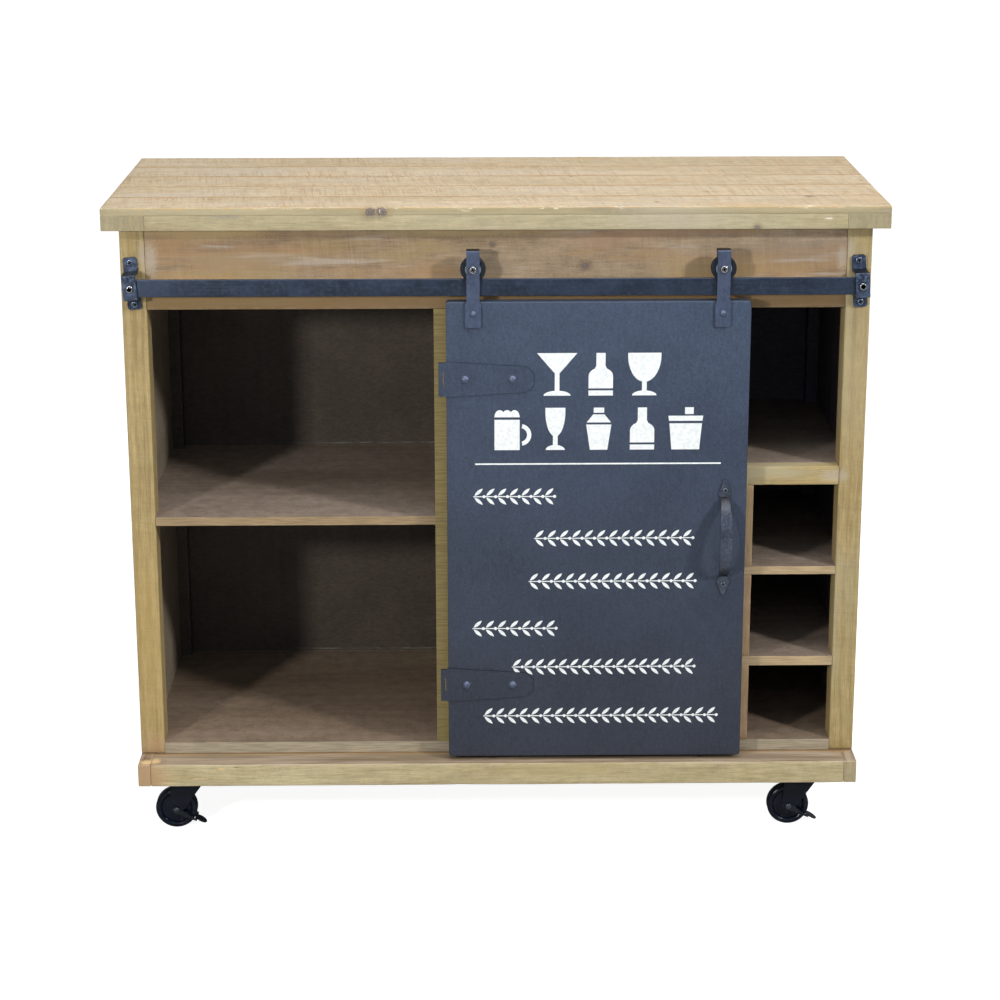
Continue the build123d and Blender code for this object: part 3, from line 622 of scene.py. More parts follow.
def add_board(build, low, high, grain, seed, edge, ragged, sharp):
    """Adds a board to a mesh under construction: rounded, slightly uneven edges with a few dents.

    The edges are numbered from the low corner on, first across and then deep. Those in sharp stay crisp.
    """
    axis = "XYZ".index(grain)
    across, deep = (axis + 1) % 3, (axis + 2) % 3
    length = high[axis] - low[axis]
    width, depth = high[across] - low[across], high[deep] - low[deep]
    dice = random.Random(seed)
    dents = [(dice.uniform(0.02, 0.98) * length, dice.randrange(4), dice.uniform(0.6, 2.2) * MM,
              dice.uniform(3, 12) * MM) for _ in range(int(2 + length * 9 * ragged))]
    count = max(2, round(length / STATION_PITCH))
    inner = [edge + index * (length - 2 * edge) / count for index in range(count + 1)]
    stations = [(0.0, edge), (0.3 * edge, 0.3 * edge)] + [(along, 0.0) for along in inner]
    stations += [(length - 0.3 * edge, 0.3 * edge), (length, edge)]
    rings = []
    for along, inset in stations:
        radii = []
        for corner in range(4):
            wave = noise.noise(Vector((along * 38, corner * 7.3 + seed, seed * 1.7)))
            radius = edge * (1 + ragged * 0.7 * wave)
            for place, which, bite, reach in dents:
                if which == corner:
                    radius += ragged * bite * exp(-(((along - place) / reach) ** 2))
            radius = min(radius, 0.45 * min(width, depth))
            radii.append(0.15 * edge if corner in sharp else radius)
        ring = []
        for u, v, wear in board_section(width, depth, radii, 4 * MM):
            u = inset + u * (width - 2 * inset) / width
            v = inset + v * (depth - 2 * inset) / depth
            spot = Vector((along * 9, u * 40, v * 40 + seed * 3.1))
            dip = 0.12 * MM * (noise.noise(spot) - 1)
            place = [0.0, 0.0, 0.0]
            place[axis] = low[axis] + along
            place[across] = low[across] + u + dip * copysign(1, u - width / 2)
            place[deep] = low[deep] + v + dip * copysign(1, v - depth / 2)
            vertex = build.verts.new(place)
            vertex[build.wear] = 1.0 if inset else wear
            vertex[build.seed] = seed * 0.731
            ring.append(vertex)
        rings.append(ring)
    for first, second in zip(rings, rings[1:]):
        for index, vertex in enumerate(first):
            after = (index + 1) % len(first)
            build.faces.new((vertex, first[after], second[after], second[index]))
    build.faces.new(list(reversed(rings[0])))
    build.faces.new(rings[-1])


class Boards:
    """A mesh of one or more boards that stands for one CAD node."""

    def __init__(self):
        self.mesh = bmesh.new()
        self.verts = self.mesh.verts
        self.faces = self.mesh.faces
        self.wear = self.mesh.verts.layers.float.new("wear")
        self.seed = self.mesh.verts.layers.float.new("seed")

    def finish(self, node, material):
        mesh = baked(self.mesh, f"{node}_worn")
        piece = new_object(mesh.name, mesh, material)
        for face in mesh.polygons:
            face.use_smooth = len(face.vertices) == 4
        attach(piece, "cabinet")
        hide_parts(node)


def islands(node):
    """The boxes of a CAD node's separate solids, from low X, then low Y, then low Z."""
    mesh = bmesh.new()
    mesh.from_mesh(frame["nodes"][node].data)
    bmesh.ops.remove_doubles(mesh, verts=mesh.verts[:], dist=1e-6)
    mesh.verts.ensure_lookup_table()
    left = set(mesh.verts)
    boxes = []
    while left:
        stack = [left.pop()]
        found = []
        while stack:
            vertex = stack.pop()
            found.append(vertex.co.copy())
            for edge in vertex.link_edges:
                other = edge.other_vert(vertex)
                if other in left:
                    left.remove(other)
                    stack.append(other)
        low = Vector(min(co[k] for co in found) for k in range(3))
        high = Vector(max(co[k] for co in found) for k in range(3))
        boxes.append((low, high))
    mesh.free()
    return sorted(boxes, key=lambda box: tuple(round(c, 4) for c in box[0]))


def worn_boards(node, grain, material, first_seed, edge=1.3, ragged=0.8, sharp=()):
    """Replaces a CAD node of plain boards by boards with worn edges, so many millimetres round."""
    boards = Boards()
    for index, (low, high) in enumerate(islands(node)):
        add_board(boards, low, high, grain, first_seed + index, edge * MM, ragged, sharp)
    boards.finish(node, material)


def soften(material, width, *nodes):
    """Replaces CAD nodes by copies whose edges are rounded by so many millimetres, for highlights."""
    for node in nodes:
        soften_one(material, width, node)


def soften_one(material, width, node):
    source = frame["nodes"][node]
    mesh = source.data.copy()
    mesh.name = f"{node}_soft"
    build = bmesh.new()
    build.from_mesh(mesh)
    bmesh.ops.remove_doubles(build, verts=build.verts[:], dist=2e-6)
    bmesh.ops.dissolve_limit(build, angle_limit=radians(1.5), verts=build.verts[:], edges=build.edges[:])
    build.to_mesh(mesh)
    build.free()
    if "custom_normal" in mesh.attributes:
        mesh.attributes.remove(mesh.attributes["custom_normal"])
    piece = new_object(f"{node}_soft", mesh, material)
    bevel = piece.modifiers.new("round", "BEVEL")
    bevel.width = width * MM
    bevel.segments = BEVEL_SEGMENTS
    bevel.limit_method = "ANGLE"
    bevel.angle_limit = radians(BEVEL_ANGLE)
    bevel.harden_normals = True
    bpy.context.view_layer.update()
    evaluated = piece.evaluated_get(bpy.context.evaluated_depsgraph_get())
    piece.data = bpy.data.meshes.new_from_object(evaluated)
    piece.modifiers.clear()
    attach(piece, source["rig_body"])
    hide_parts(node)


def dress(material, *nodes):
    """Gives CAD nodes a better material and leaves their meshes alone."""
    for node in nodes:
        slots = frame["nodes"][node].data.materials
        slots.clear()
        slots.append(material)


# ---- timber ----
def edge_knots():
    """Two knots side by side on the top's front edge, and a pale chip between them."""
    low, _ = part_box("top_planks")
    heart = Vector((-0.159, low.y, low.z + 0.004))
    second = heart + Vector((0.0135, 0, 0.0005))
    chip = (heart + Vector((0.0115, 0, 0.001)), (0.0012, 0.01, 0.003))
    return [(heart, 0.006), (second, 0.0062)], chip


def plank_wood():
    low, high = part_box("top_planks")
    middle = (low + high) / 2
    wood = Wood("honey_planks", "X", HONEY_LIGHT, HONEY, HONEY_DARK)
    wood.figure(42, ring_depth=0.12, streaks=0.3, mottle=0.24)
    wood.tint(ORANGE_STAIN, 0.38, 0.57, 7, 34)
    wood.tint(CHALK, 0.4, 0.56, 4, 12)
    wood.sawn(0.58, HONEY_DARK, HONEY_LIGHT)
    wood.specks(SAGE_DARK)
    _, y, z = wood.split()
    behind = wood.span(y, low.y + 0.004, low.y + 0.012)
    wood.worn(ORANGE_STAIN, 0.45, 1, 0.1, behind)
    wood.worn(SEAM_STAIN, 0.95, 0.35, 0.85, behind)
    # the front edge of the first plank is as green as the frame below it
    grey = wood.mix(wood.span(wood.lines(6, 90), 0.35, 0.65), EDGE_DARK, EDGE_LIGHT)
    grey = wood.mix(wood.span(wood.lines(3.5, 10), 0.56, 0.68, 0, 0.6), grey, PURPLE_GREY)
    wood.cover(grey, wood.looks(FRONT, 0.35, 0.75))
    brow = wood.times(wood.span(y, low.y + 0.008, low.y + 0.003), wood.span(z, middle.z, high.z))
    wood.worn(ORANGE_STAIN, 0.6, 1, 0.1, brow)
    nick = wood.span(wood.noise((95, 260, 260), 3, 0.7), 0.58, 0.65)
    nick = wood.times(nick, wood.span(wood.lines(5, 1), 0.4, 0.56))
    wood.cover(NICK, wood.times(nick, brow))
    double_knot, chip = edge_knots()
    wood.knots(
        *double_knot,
        ((middle.x + 0.104, middle.y + 0.035, high.z), 0.0022),
        ((middle.x + 0.205, low.y + 0.035, high.z), 0.0026),
        ((high.x - 0.095, low.y + 0.075, high.z), 0.004),
    )
    wood.smudge(CHALK, 0.35, ((0.22, low.y, low.z), (0.1, 0.01, 0.02)))
    wood.smudge(NICK, 0.7, chip)
    wood.ends(HONEY)
    return wood.done(0.0007)


def frame_wood(grain):
    """The strips that thicken the slab. Where they look along X or Y their colour is the same."""
    low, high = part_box("top_frame_rails")
    wood = Wood(f"sage_frame_{grain.lower()}", grain, SAGE_LIGHT, SAGE, SAGE_DARK)
    wood.figure(55, ring_depth=0.08, streaks=0.18, fine=0.26, mottle=0.18)
    wood.tint(CHALK, 0.3, 0.58)
    wood.tint(GREENISH, 0.22, 0.58)
    wood.smudge(PURPLE_GREY, 0.45,
                ((-0.345, low.y, high.z), (0.035, 0.01, 0.006)),
                ((-0.15, low.y, high.z), (0.022, 0.01, 0.005)))
    wood.smudge(CHALK, 0.35, ((0.22, low.y, high.z - 0.006), (0.1, 0.01, 0.02)))
    double_knot, _ = edge_knots()
    wood.knots(*double_knot, ((high.x - 0.115, low.y, low.z + 0.002), 0.0035))
    wood.smudge(NICK, 0.8, ((high.x - 0.024, low.y, high.z - 0.006), (0.007, 0.01, 0.0016)))
    wood.worn(SAGE_LIGHT, 0.35)
    wood.ends(SAGE_END, 0.5)
    return wood.done()


def make_top():
    planks = Boards()
    low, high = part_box("top_planks")
    width = (high.y - low.y) / len(PLANK_DROPS)
    for index, drop in enumerate(PLANK_DROPS):
        near = Vector((low.x, low.y + index * width, low.z))
        far = Vector((high.x, near.y + width, high.z - drop * MM))
        ragged = 1.2 if index == 0 else 0.8
        add_board(planks, near, far, "X", 11 + index, 1.3 * MM, ragged, sharp=(0, 1))
    planks.finish("top_planks", plank_wood())
    worn_boards("top_frame_rails", "X", frame_wood("X"), 21, 0.6, 0.5, (2, 3))
    worn_boards("top_frame_ends", "Y", frame_wood("Y"), 25, 0.6, 0.5, (1, 2))


def post_wood():
    _, header_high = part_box("header_board")
    low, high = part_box("cubby_top_rail")
    _, base_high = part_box("base_front_rail")
    wood = Wood("olive_posts", "Z", OLIVE_LIGHT, OLIVE, OLIVE_DARK)
    wood.figure(66, 15, streaks=0.5, fine=0.34)
    wood.tint(SAGE_LIGHT, 0.45, 0.54, 2.2, 12)
    wood.sawn(0.16, OLIVE_DARK, SAGE_LIGHT)
    wood.tint(GREENISH, 0.35, 0.58)
    wood.tint(ROSY, 0.3, 0.63)
    wood.smudge(CHALK, 0.5,
                ((high.x + 0.004, low.y, (low.z + high.z) / 2), (0.012, 0.02, 0.013)),
                ((-high.x - 0.002, low.y, header_high.z - 0.035), (0.01, 0.02, 0.03)),
                ((high.x + 0.002, low.y, header_high.z - 0.03), (0.01, 0.02, 0.022)))
    wood.smudge(ROSY, 0.55, ((-high.x - 0.014, low.y, base_high.z), (0.03, 0.02, 0.045)))
    wood.smudge(SAGE_LIGHT, 0.3, ((high.x + 0.015, low.y, header_high.z - 0.15), (0.04, 0.02, 0.22)))
    wood.smudge(POST_AMBER, 0.35, ((-high.x - 0.014, low.y, base_high.z + 0.15), (0.04, 0.02, 0.2)))
    wood.worn(OLIVE_LIGHT, 0.45)
    wood.ends(OLIVE_DARK)
    return wood


def stile_wood():
    """Pinker strips beside the bottle cubbies."""
    wood = Wood("rosy_stiles", "Z", STILE_ROSY, STILE_PINK, UMBER_DARK)
    wood.figure(ring_depth=0.2, streaks=0.35)
    wood.tint(OLIVE, 0.5, 0.5)
    wood.worn(OLIVE_DARK, 0.3)
    wood.ends(OLIVE_DARK)
    return wood.done()


def header_wood(name):
    low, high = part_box("header_board")
    wood = Wood(name, "X", UMBER_LIGHT, UMBER, UMBER_DARK)
    wood.figure(24, 34, 0.22, 0.3, 0.28, 0.34)
    wood.tint(OLIVE, 0.6, 0.48, 3, 18)
    wood.tint(HEADER_ORANGE, 0.6, 0.5, 3.5, 22)
    wood.tint(ROSY, 0.4, 0.55, 2.5, 20)
    wood.tint(CHALK, 0.55, 0.58, 4.5, 60)
    wood.sawn(0.13, UMBER_DARK, CHALK)
    _, _, z = wood.split()
    # darker along the foot, below the rail: partly the wood's own tone, partly painted shade under the rail
    shaded = wood.mix(wood.span(wood.lines(3, 60), 0.3, 0.7), HEADER_TONE_AND_RAIL_SHADE, OLIVE_DARK)
    wood.layer(shaded, z, low.z + 0.03, low.z + 0.018, 0.85)
    wood.smudge(CHALK, 0.55,
                ((low.x + 0.006, low.y, high.z - 0.038), (0.014, 0.02, 0.03)),
                ((high.x - 0.006, low.y, high.z - 0.04), (0.01, 0.02, 0.022)))
    wood.smudge(OLIVE_LIGHT, 0.6,
                ((low.x + 0.08, low.y, high.z - 0.006), (0.11, 0.02, 0.014)),
                ((low.x + 0.4, low.y, high.z - 0.004), (0.16, 0.02, 0.012)))
    wood.smudge(PURPLE_GREY, 0.22, ((high.x - 0.07, low.y, high.z - 0.03), (0.14, 0.02, 0.03)))
    wood.smudge(STILE_PINK, 0.5, ((low.x + 0.13, low.y, high.z - 0.04), (0.12, 0.02, 0.014)))
    wood.knots(((0.113, low.y, high.z - 0.05), 0.0045), ((-0.005, low.y, high.z - 0.022), 0.0025))
    wood.worn(UMBER_LIGHT, 0.35)
    wood.ends(UMBER_DARK)
    return wood.done()


def rail_wood():
    """The strip in front of the shelf under the right bay's open part."""
    low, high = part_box("cubby_top_rail")
    wood = Wood("olive_rail", "X", OLIVE_LIGHT, OLIVE, OLIVE_DARK)
    wood.figure(70, ring_depth=0.14, streaks=0.3)
    wood.tint(SAGE_LIGHT, 0.75, 0.42)
    wood.smudge(CHALK, 0.5, ((high.x - 0.008, low.y, (low.z + high.z) / 2), (0.024, 0.02, 0.011)))
    wood.worn(OLIVE_LIGHT, 0.4)
    return wood.done()


def make_carcass():
    olive = post_wood().done()
    # the rear posts' inward faces get the interior's painted shade
    shaded_inside = post_wood()
    shaded_inside.indoors(BACK_BROWN)
    shaded_inside = shaded_inside.done()
    for index, corner in enumerate(("front_left", "front_right", "rear_left", "rear_right")):
        material = shaded_inside if corner.startswith("rear") else olive
        worn_boards(f"post_{corner}", "Z", material, 31 + 3 * index)
    worn_boards("cubby_stiles", "Z", stile_wood(), 47, 0.9, 0.6)
    worn_boards("header_board", "X", header_wood("umber_header"), 53, 0.8, 0.5)
    worn_boards("rear_top_rail", "X", header_wood("umber_rear"), 57, 0.8, 0.5)
    worn_boards("cubby_top_rail", "X", rail_wood(), 61, 0.9, 0.7)


def base_wood(name, grain):
    """The base: greenish in front, pinkish grey on top, with a reddish left end and a bright chip on it."""
    low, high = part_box("base_end_rails")
    post_low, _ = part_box("post_front_left")
    wood = Wood(name, grain, BASE_LIGHT, BASE, OLIVE_DARK)
    wood.figure(48, ring_depth=0.14, streaks=0.3, fine=0.34)
    wood.tint(OLIVE_LIGHT, 0.45, 0.52)
    wood.tint(ROSY, 0.25, 0.64)
    wood.worn(HONEY_LIGHT, 0.55)
    wood.ends(SAGE, 0.5)
    ledge = wood.times(wood.looks((0, 0, 1)), 0.85)
    pinkish = wood.mix(wood.span(wood.lines(7, 90), 0.38, 0.62), LEDGE_BROWN, LEDGE_PINK)
    pinkish = wood.mix(wood.span(wood.lines(4, 130), 0.55, 0.64, 0, 0.75), pinkish, UMBER_DARK)
    wood.cover(pinkish, ledge)
    _, y, _ = wood.split()
    near = wood.span(y, post_low.y - 0.014, post_low.y - 0.006)
    rust = wood.times(near, wood.span(wood.lines(9, 90), 0.38, 0.58, 0.25, 1))
    wood.cover(LEDGE_ORANGE, wood.times(rust, ledge))
    # a dark line where the ledge meets the posts: dirt and painted shade in the crease
    near = wood.span(y, post_low.y - 0.007, post_low.y - 0.003)
    crease_dirt_and_shade = wood.times(near, wood.span(wood.lines(24, 160), 0.35, 0.55, 0.6, 1))
    wood.cover(UMBER_DARK, wood.times(crease_dirt_and_shade, ledge))

    def mark(across, deep, up, *reach):
        return Vector((low.x, low.y, high.z)) + Vector((across, deep, up)), reach

    wood.smudge(RED_END, 0.7, mark(0.014, 0, -0.016, 0.036, 0.01, 0.03))
    wood.smudge(UMBER_DARK, 0.8, mark(0.016, 0.012, 0, 0.025, 0.018, 0.004))
    wood.smudge(CHIP, 1,
                mark(0.01, 0.01, 0, 0.014, 0.012, 0.004),
                mark(0.022, 0.014, 0, 0.011, 0.014, 0.004),
                mark(0.112, 0, -0.006, 0.007, 0.006, 0.002),
                mark(0.082, 0, -0.02, 0.018, 0.006, 0.0009),
                mark(0.04, 0, -0.026, 0.014, 0.006, 0.0009))
    wood.smudge(UMBER_DARK, 0.7, mark(0.131, 0, -0.004, 0.005, 0.006, 0.0012))
    return wood.done()


def make_base():
    along, aside = base_wood("base_x", "X"), base_wood("base_y", "Y")
    worn_boards("base_front_rail", "X", along, 71)
    worn_boards("base_rear_rail", "X", along, 75)
    worn_boards("base_end_rails", "Y", aside, 79)


def shelf_ply(name, edge_tone, stain=(1, 1, 1)):
    """Brown plywood with a satin finish, and a bare strip along its front edge."""
    back_low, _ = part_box("back_panel")
    _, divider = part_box("divider_right")
    tones = (SHELF_LIGHT, SHELF_BROWN, SHELF_DARK)
    wood = Wood(name, "X", *(tuple(a * b for a, b in zip(tone, stain)) for tone in tones))
    wood.figure(9, 40, 0.05, 0.05, 0.06, 0.42)
    wood.specks(SHELF_DARK, 0.5, 0.66)
    x, y, _ = wood.split()
    # a pale line along the rear edge: partly bare ply, partly a painted highlight where the shelf meets the
    # back
    wood.cover(CHALK, wood.times(wood.span(y, back_low.y - 0.004, back_low.y - 0.001), 0.35))
    # painted shade: darker in the right bay and towards the back
    shade = wood.span(x, divider.x - 0.004, divider.x + 0.004, 1, RIGHT_BAY_SHELF_PAINTED_SHADE)
    wood.shade(wood.times(shade, wood.span(y, back_low.y - 0.2, back_low.y, 1, REAR_PAINTED_SHADE)))
    wood.lipping(edge_tone)
    return wood.done(PLY_RELIEF, 0.45)


def wall_ply(name, light, middle, dark):
    """Plywood, without the indoor painted shade or the lipping yet."""
    wood = Wood(name, "Z", light, middle, dark)
    wood.figure(22, 30, 0.25, 0.35, 0.25)
    return wood


def side_ply():
    wood = wall_ply("ply_side", OLIVE_LIGHT, OLIVE, OLIVE_DARK)
    wood.indoors(SIDE_BROWN)
    return wood.done(PLY_RELIEF)


def back_ply():
    """The back, with a pale broken line just above the shelf and the floor of the left bay: a painted
    highlight, only on the part that the left lamp lights.
    """
    wood = wall_ply("ply_back", UMBER_LIGHT, UMBER, UMBER_DARK)
    wood.indoors(BACK_BROWN)
    x, _, z = wood.split()
    broken = wood.noise((60, 60, 400), 3, 0.7)
    for node in ("shelf_left", "floor_panel"):
        _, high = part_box(node)
        away = wood.math("ABSOLUTE", wood.minus(z, high.z + GAP_HIGHLIGHT_RISE))
        line = wood.span(away, 1.6 * MM, 0.8 * MM)
        line = wood.times(line, wood.span(broken, 0.42, 0.6, 0.15, 0.8))
        # painted highlight, only on the lit right-hand part of the left bay
        wood.cover(GAP_PAINTED_HIGHLIGHT, wood.times(line, wood.span(x, -0.33, -0.25)))
    return wood.done(PLY_RELIEF)


def divider_ply():
    """Both faces of a divider are indoors, so they are dark brown all over, painted shade of the interior;
    only its front edge shows the posts' stain.
    """
    wood = wall_ply("ply_divider", DIVIDER_BROWN, DIVIDER_BROWN, BACK_BROWN)
    wood.lipping(DIVIDER_EDGE)
    return wood.done(PLY_RELIEF)


def make_panels():
    dress(shelf_ply("ply_shelf", PINK_LIPPING), "shelf_left", "shelf_middle")
    cubby = shelf_ply("ply_cubby", CUBBY_LIPPING)
    dress(cubby, "cubby_shelf_top", "cubby_shelf_upper", "cubby_shelf_lower")
    dress(shelf_ply("ply_floor", FLOOR_LIPPING, FLOOR_DARKENING), "floor_panel")
    dress(side_ply(), "side_panel_left", "side_panel_right")
    dress(back_ply(), "back_panel")
    dress(divider_ply(), "divider_left", "divider_right")


# ---- metal and door ----
def make_hardware():
    low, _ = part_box("door_rail")
    # the rail carries a painted highlight on its left end
    rail_steel = dark_steel("rail_steel", (0.016, 0.025, 0.045), (0.047, 0.07, 0.12), 0.36,
                            highlight_end=low.x)
    # the straps, the pull and the brackets get a black rim of painted shade
    strap_steel = dark_steel("strap_steel", (0.053, 0.072, 0.126), (0.115, 0.152, 0.255), 0.42, "Z", True)
    rivet_steel = dark_steel("rivet_steel", (0.07, 0.09, 0.15), (0.16, 0.2, 0.31), 0.34, "Z")
    pull_steel = dark_steel("pull_steel", (0.03, 0.038, 0.06), (0.13, 0.155, 0.215), 0.3, "Z", True)
    bracket_steel = dark_steel("bracket_steel", (0.01, 0.017, 0.037), (0.115, 0.165, 0.27), 0.34,
                               "Z", True, 0.85)
    soften(rail_steel, 0.4, "door_rail")
    soften(pull_steel, 0.3, "door_pull")
    soften(bracket_steel, 0.6, "rail_bracket_left", "rail_bracket_right")
    soften(strap_steel, 0.7, "hanger_left", "hanger_right")
    soften(rivet_steel, 0.15, "hanger_rivets", "strap_rivets")
    tones = {"rail_end_screws": ZINC, "axle_bolts": ZINC, "bracket_screws": BLUED, "pull_screws": PAINTED}
    for node, tone in tones.items():
        soften(screw_metal(node, tone, 0.22), 0.15, node)
    for node in ("back_panel_screws", "caster_plate_screws"):
        soften(screw_metal(node, ZINC, 0.25, recess_shade=False), 0.15, node)
    for node in ("roller_left", "roller_right"):
        soften(roller_finish(node), 0.25, node)


def make_door():
    dress(door_paint("charcoal_paint"), "door_panel")
    # the hinge straps take the door's painted reflection and a black rim of painted shade
    soften(door_paint("strap_paint", 0.9, rim_shade=True), 0.8, "hinge_straps")
    dress(black_moulding("glide_black", (0.012, 0.012, 0.013), 0.5), "door_glides")
    paint = white_paint()
    make_heading(paint)
    make_rule(paint)
    make_borders(paint)


class Stencil:
    """White paint on the door's face: flat outlines across and up from a start, in units of its size.

    The start and its size are in millimetres, from the door's lower left corner.
    """

    def __init__(self):
        self.points = []
        self.outlines = []
        self.start(0, 0, 1)

    def start(self, u, v, size):
        self.u, self.v, self.size = u, v, size

    def shape(self, outline):
        """One closed outline. It may overlap others."""
        outline = [(self.u + x * self.size, self.v + z * self.size) for x, z in outline]
        turns = zip(outline, outline[1:] + outline[:1])
        if sum(a[0] * b[1] - a[1] * b[0] for a, b in turns) < 0:
            outline = outline[::-1]
        first = len(self.points)
        self.points += [Vector(point) for point in outline]
        self.outlines.append(list(range(first, len(self.points))))

    def box(self, left, bottom, width, height):
        self.trapezoid(left, left + width, bottom, left, left + width, bottom + height)

    def trapezoid(self, left, right, bottom, top_left, top_right, top):
        self.shape([(left, bottom), (right, bottom), (top_right, top), (top_left, top)])

    def round(self, u, v, width, height, first=0, last=360, steps=28):
        """An ellipse, or the part of it between two angles closed by its chord."""
        whole = last - first >= 360
        count = steps if whole else steps + 1
        angles = [radians(first + (last - first) * step / steps) for step in range(count)]
        self.shape([(u + width / 2 * cos(a), v + height / 2 * sin(a)) for a in angles])

    def finish(self, name, paint):
        """Joins the outlines into one film of paint with square edges."""
        low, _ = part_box("door_panel")
        points, _, triangles, *_ = geometry.delaunay_2d_cdt(self.points, [], self.outlines, 1, 0.001)
        film = bmesh.new()
        front = [film.verts.new((low.x + p.x * MM, low.y - PAINT_FILM, low.z + p.y * MM)) for p in points]
        for triangle in triangles:
            film.faces.new([front[index] for index in triangle])
        bmesh.ops.delete(film, geom=[v for v in film.verts if not v.link_faces], context="VERTS")
        rim = [edge for edge in film.edges if edge.is_boundary]
        for part in bmesh.ops.extrude_edge_only(film, edges=rim)["geom"]:
            if isinstance(part, bmesh.types.BMVert):
                part.co.y += 2 * PAINT_FILM
        piece = new_object(name, baked(film, name), paint, smooth=False)
        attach(piece, "door")


def glass_stem(stencil, height, foot):
    """The stem and foot that the stemmed glasses share."""
    stem, base = STEM_WIDTH / HEADING_SIZE, FOOT_HEIGHT / HEADING_SIZE
    stencil.box(-stem / 2, stem / 2, stem, height - stem / 2)
    stencil.round(0, 0, foot, 2 * base, 0, 180)


def martini_glass(stencil):
    glass_stem(stencil, 0.52, 0.62)
    stencil.shape([(-0.46, 1), (0, 0.46), (0.46, 1)])


def wine_glass(stencil):
    glass_stem(stencil, 0.42, 0.56)
    stencil.round(0, 0.94, 0.76, 1.24, 180, 360)
    stencil.box(-0.38, 0.94, 0.76, 0.06)


def flute(stencil):
    glass_stem(stencil, 0.4, 0.44)
    stencil.round(0, 0.92, 0.46, 1.2, 180, 360)
    stencil.box(-0.23, 0.92, 0.46, 0.08)


def bottle(stencil):
    body, neck = 0.28, 0.105
    label_low, label_high = 0.12, 0.17
    angles = [radians(15 * step) for step in range(5)]
    shoulder = [(body * cos(a), 0.46 + 0.2 * sin(a)) for a in angles]
    right = [(body, 0), *shoulder, (neck, 0.7), (neck, 1)]
    outline = right + [(-x, z) for x, z in reversed(right)]
    stencil.shape([(x, max(z, label_high)) for x, z in outline])
    stencil.box(-body, 0, 2 * body, label_low)


def tumbler(stencil):
    stencil.trapezoid(-0.32, 0.32, 0, -0.375, 0.375, 0.62)
    stencil.trapezoid(-0.385, 0.385, 0.68, -0.4, 0.4, 0.8)
    stencil.box(-0.02, 0.84, 0.2, 0.16)


def mug(stencil):
    stencil.box(-0.4, 0, 0.58, 0.72)
    for bump in (-0.28, -0.11, 0.06):
        stencil.round(bump, 0.78, 0.24, 0.34, 0, 180)
    angles = [radians(-80 + 16 * step) for step in range(11)]
    outer = [(0.2 + 0.25 * cos(a), 0.36 + 0.26 * sin(a)) for a in angles]
    inner = [(0.2 + 0.15 * cos(a), 0.36 + 0.16 * sin(a)) for a in reversed(angles)]
    stencil.shape(outer + inner)


def shaker(stencil):
    stencil.trapezoid(-0.2, 0.2, 0, -0.29, 0.29, 0.6)
    stencil.trapezoid(-0.28, 0.28, 0.65, -0.13, 0.13, 0.84)
    stencil.box(-0.12, 0.88, 0.24, 0.12)


def make_heading(paint):
    """Two rows of bar glasses and bottles, each row with its middle and its lower edge."""
    stencil = Stencil()
    rows = (
        (198, 496, (martini_glass, bottle, wine_glass)),
        (196, 424, (mug, flute, shaker, bottle, tumbler)),
    )
    for middle, bottom, motifs in rows:
        for index, motif in enumerate(motifs):
            stencil.start(middle + (index - (len(motifs) - 1) / 2) * HEADING_PITCH, bottom, HEADING_SIZE)
            motif(stencil)
    stencil.finish("door_heading_ornament", paint)


def make_rule(paint):
    stencil = Stencil()
    stencil.box(*RULE)
    stencil.finish("door_rule_ornament", paint)


def leaf(stencil, u, v, turn):
    """A pointed leaf: two arcs that meet at its tips."""
    steps = [step / 8 for step in range(9)]
    points = [(LEAF_LENGTH * (t - 0.5), 2 * LEAF_WIDTH * t * (1 - t)) for t in steps]
    points += [(x, -z) for x, z in reversed(points[1:-1])]
    c, s = cos(turn), sin(turn)
    stencil.shape([(u + x * c - z * s, v + x * s + z * c) for x, z in points])


def make_borders(paint):
    """Six short laurel borders: a stem with pairs of leaves and a berry between the pairs."""
    stencil = Stencil()
    for left, right, bottom in BORDERS:
        count = round((right - left) / BORDER_PITCH)
        step = (right - left) / count
        middle = bottom + BORDER_HEIGHT / 2
        stencil.box(left, middle - BORDER_STEM / 2, right - left, BORDER_STEM)
        for index in range(count):
            u = left + (index + 0.32) * step
            for side in (-1, 1):
                leaf(stencil, u + 2, middle + side * 0.29 * BORDER_HEIGHT, radians(side * LEAF_TILT))
            stencil.round(u + 0.58 * step, middle, BERRY, BERRY, steps=12)
    stencil.finish("door_border_ornament", paint)


def make_casters():
    fork_black = black_moulding("fork_black", (0.002, 0.004, 0.009), 0.36)
    wheel_black = black_moulding("wheel_black", (0.003, 0.005, 0.011), 0.14)
    pedal_steel = dark_steel("pedal_steel", (0.004, 0.006, 0.01), (0.026, 0.036, 0.05), 0.26)
    axle_steel = dark_steel("axle_steel", (0.025, 0.032, 0.042), (0.1, 0.12, 0.15), 0.25)
    finishes = {"caster_wheel": (wheel_black, 0.4), "brake_pedal": (pedal_steel, 0.3),
                "caster_axle": (axle_steel, 0.3), "caster_fork": (fork_black, 0.3),
                "caster_plates": (fork_black, 0.3), "caster_kingpins": (fork_black, 0.3)}
    for node in frame["nodes"]:
        for start, (material, width) in finishes.items():
            if node.startswith(start):
                soften(material, width, node)


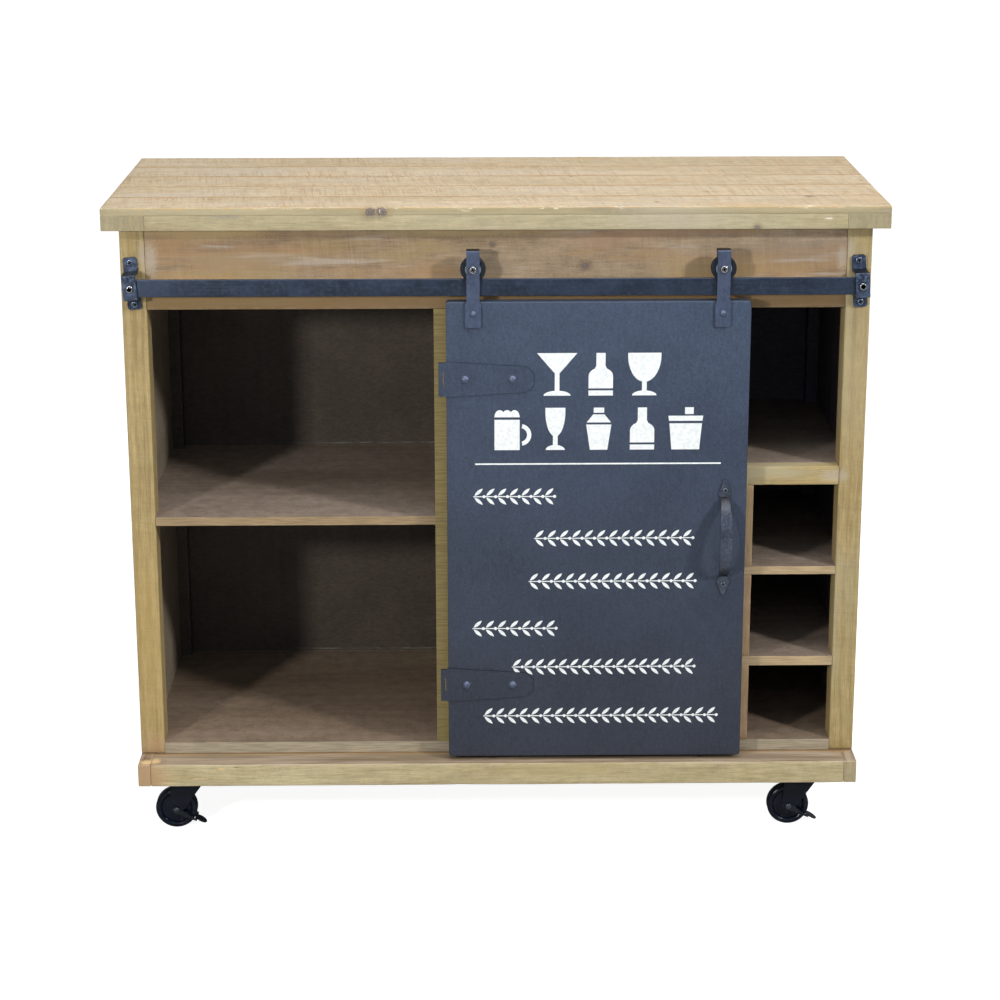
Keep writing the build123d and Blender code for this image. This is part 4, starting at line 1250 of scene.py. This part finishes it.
# ---- studio ----
def make_studio():
    half = FLOOR_SIZE / 2
    mesh = bpy.data.meshes.new("studio_floor")
    corners = [(-half, -half, 0), (half, -half, 0), (half, half, 0), (-half, half, 0)]
    mesh.from_pydata(corners, [], [(0, 1, 2, 3)])
    new_object("studio_floor", mesh, pale_floor(), smooth=False)
    make_world()
    lamp("left_lamp", (-1.34, -2.06, 1.19), 0.17, 26, (1, 0.96, 0.9))
    lamp("right_lamp", (2.4, -2.05, 2.2), 0.3, 64, (1, 0.98, 0.95))
    lamp("top_softbox", (0.15, -0.5, 2.8), 2, 58, (0.97, 0.98, 1))
    lamp("front_card", (0, -3.6, 2.5), 3, 14, (0.72, 0.85, 1))


def make_world():
    """A dim surround that lights the object, behind which the camera sees plain white."""
    world = bpy.data.worlds.new("studio")
    bpy.context.scene.world = world
    world.use_nodes = True
    tree = world.node_tree
    dim = tree.nodes["Background"]
    dim.inputs["Color"].default_value = (0.85, 0.92, 1, 1)
    dim.inputs["Strength"].default_value = 0.15
    white = tree.nodes.new("ShaderNodeBackground")
    white.inputs["Color"].default_value = (1, 1, 1, 1)
    choose(tree, dim, white, "World Output")


def lamp(name, place, size, power, tint):
    """A square area light aimed at the cabinet's middle."""
    data = bpy.data.lights.new(name, "AREA")
    data.shape = "SQUARE"
    data.size = size
    data.energy = power
    data.color = tint
    light = add(name, data)
    light.location = place
    light.rotation_euler = (Vector(LIGHT_TARGET) - Vector(place)).to_track_quat("-Z", "Y").to_euler()


def make_camera():
    data = bpy.data.cameras.new("camera")
    data.lens = CAMERA_LENS
    data.sensor_width = SENSOR_WIDTH
    camera = add("camera", data)
    aim = Euler((radians(90 - CAMERA_PITCH), 0, radians(-CAMERA_YAW))).to_matrix().to_4x4()
    roll = Matrix.Rotation(radians(-CAMERA_ROLL), 4, "Z")
    camera.matrix_world = Matrix.Translation(CAMERA_PLACE) @ aim @ roll
    bpy.context.scene.camera = camera
    bpy.context.scene.view_settings.view_transform = "Standard"


make_camera()
make_studio()
make_top()
make_carcass()
make_base()
make_panels()
make_hardware()
make_door()
make_casters()
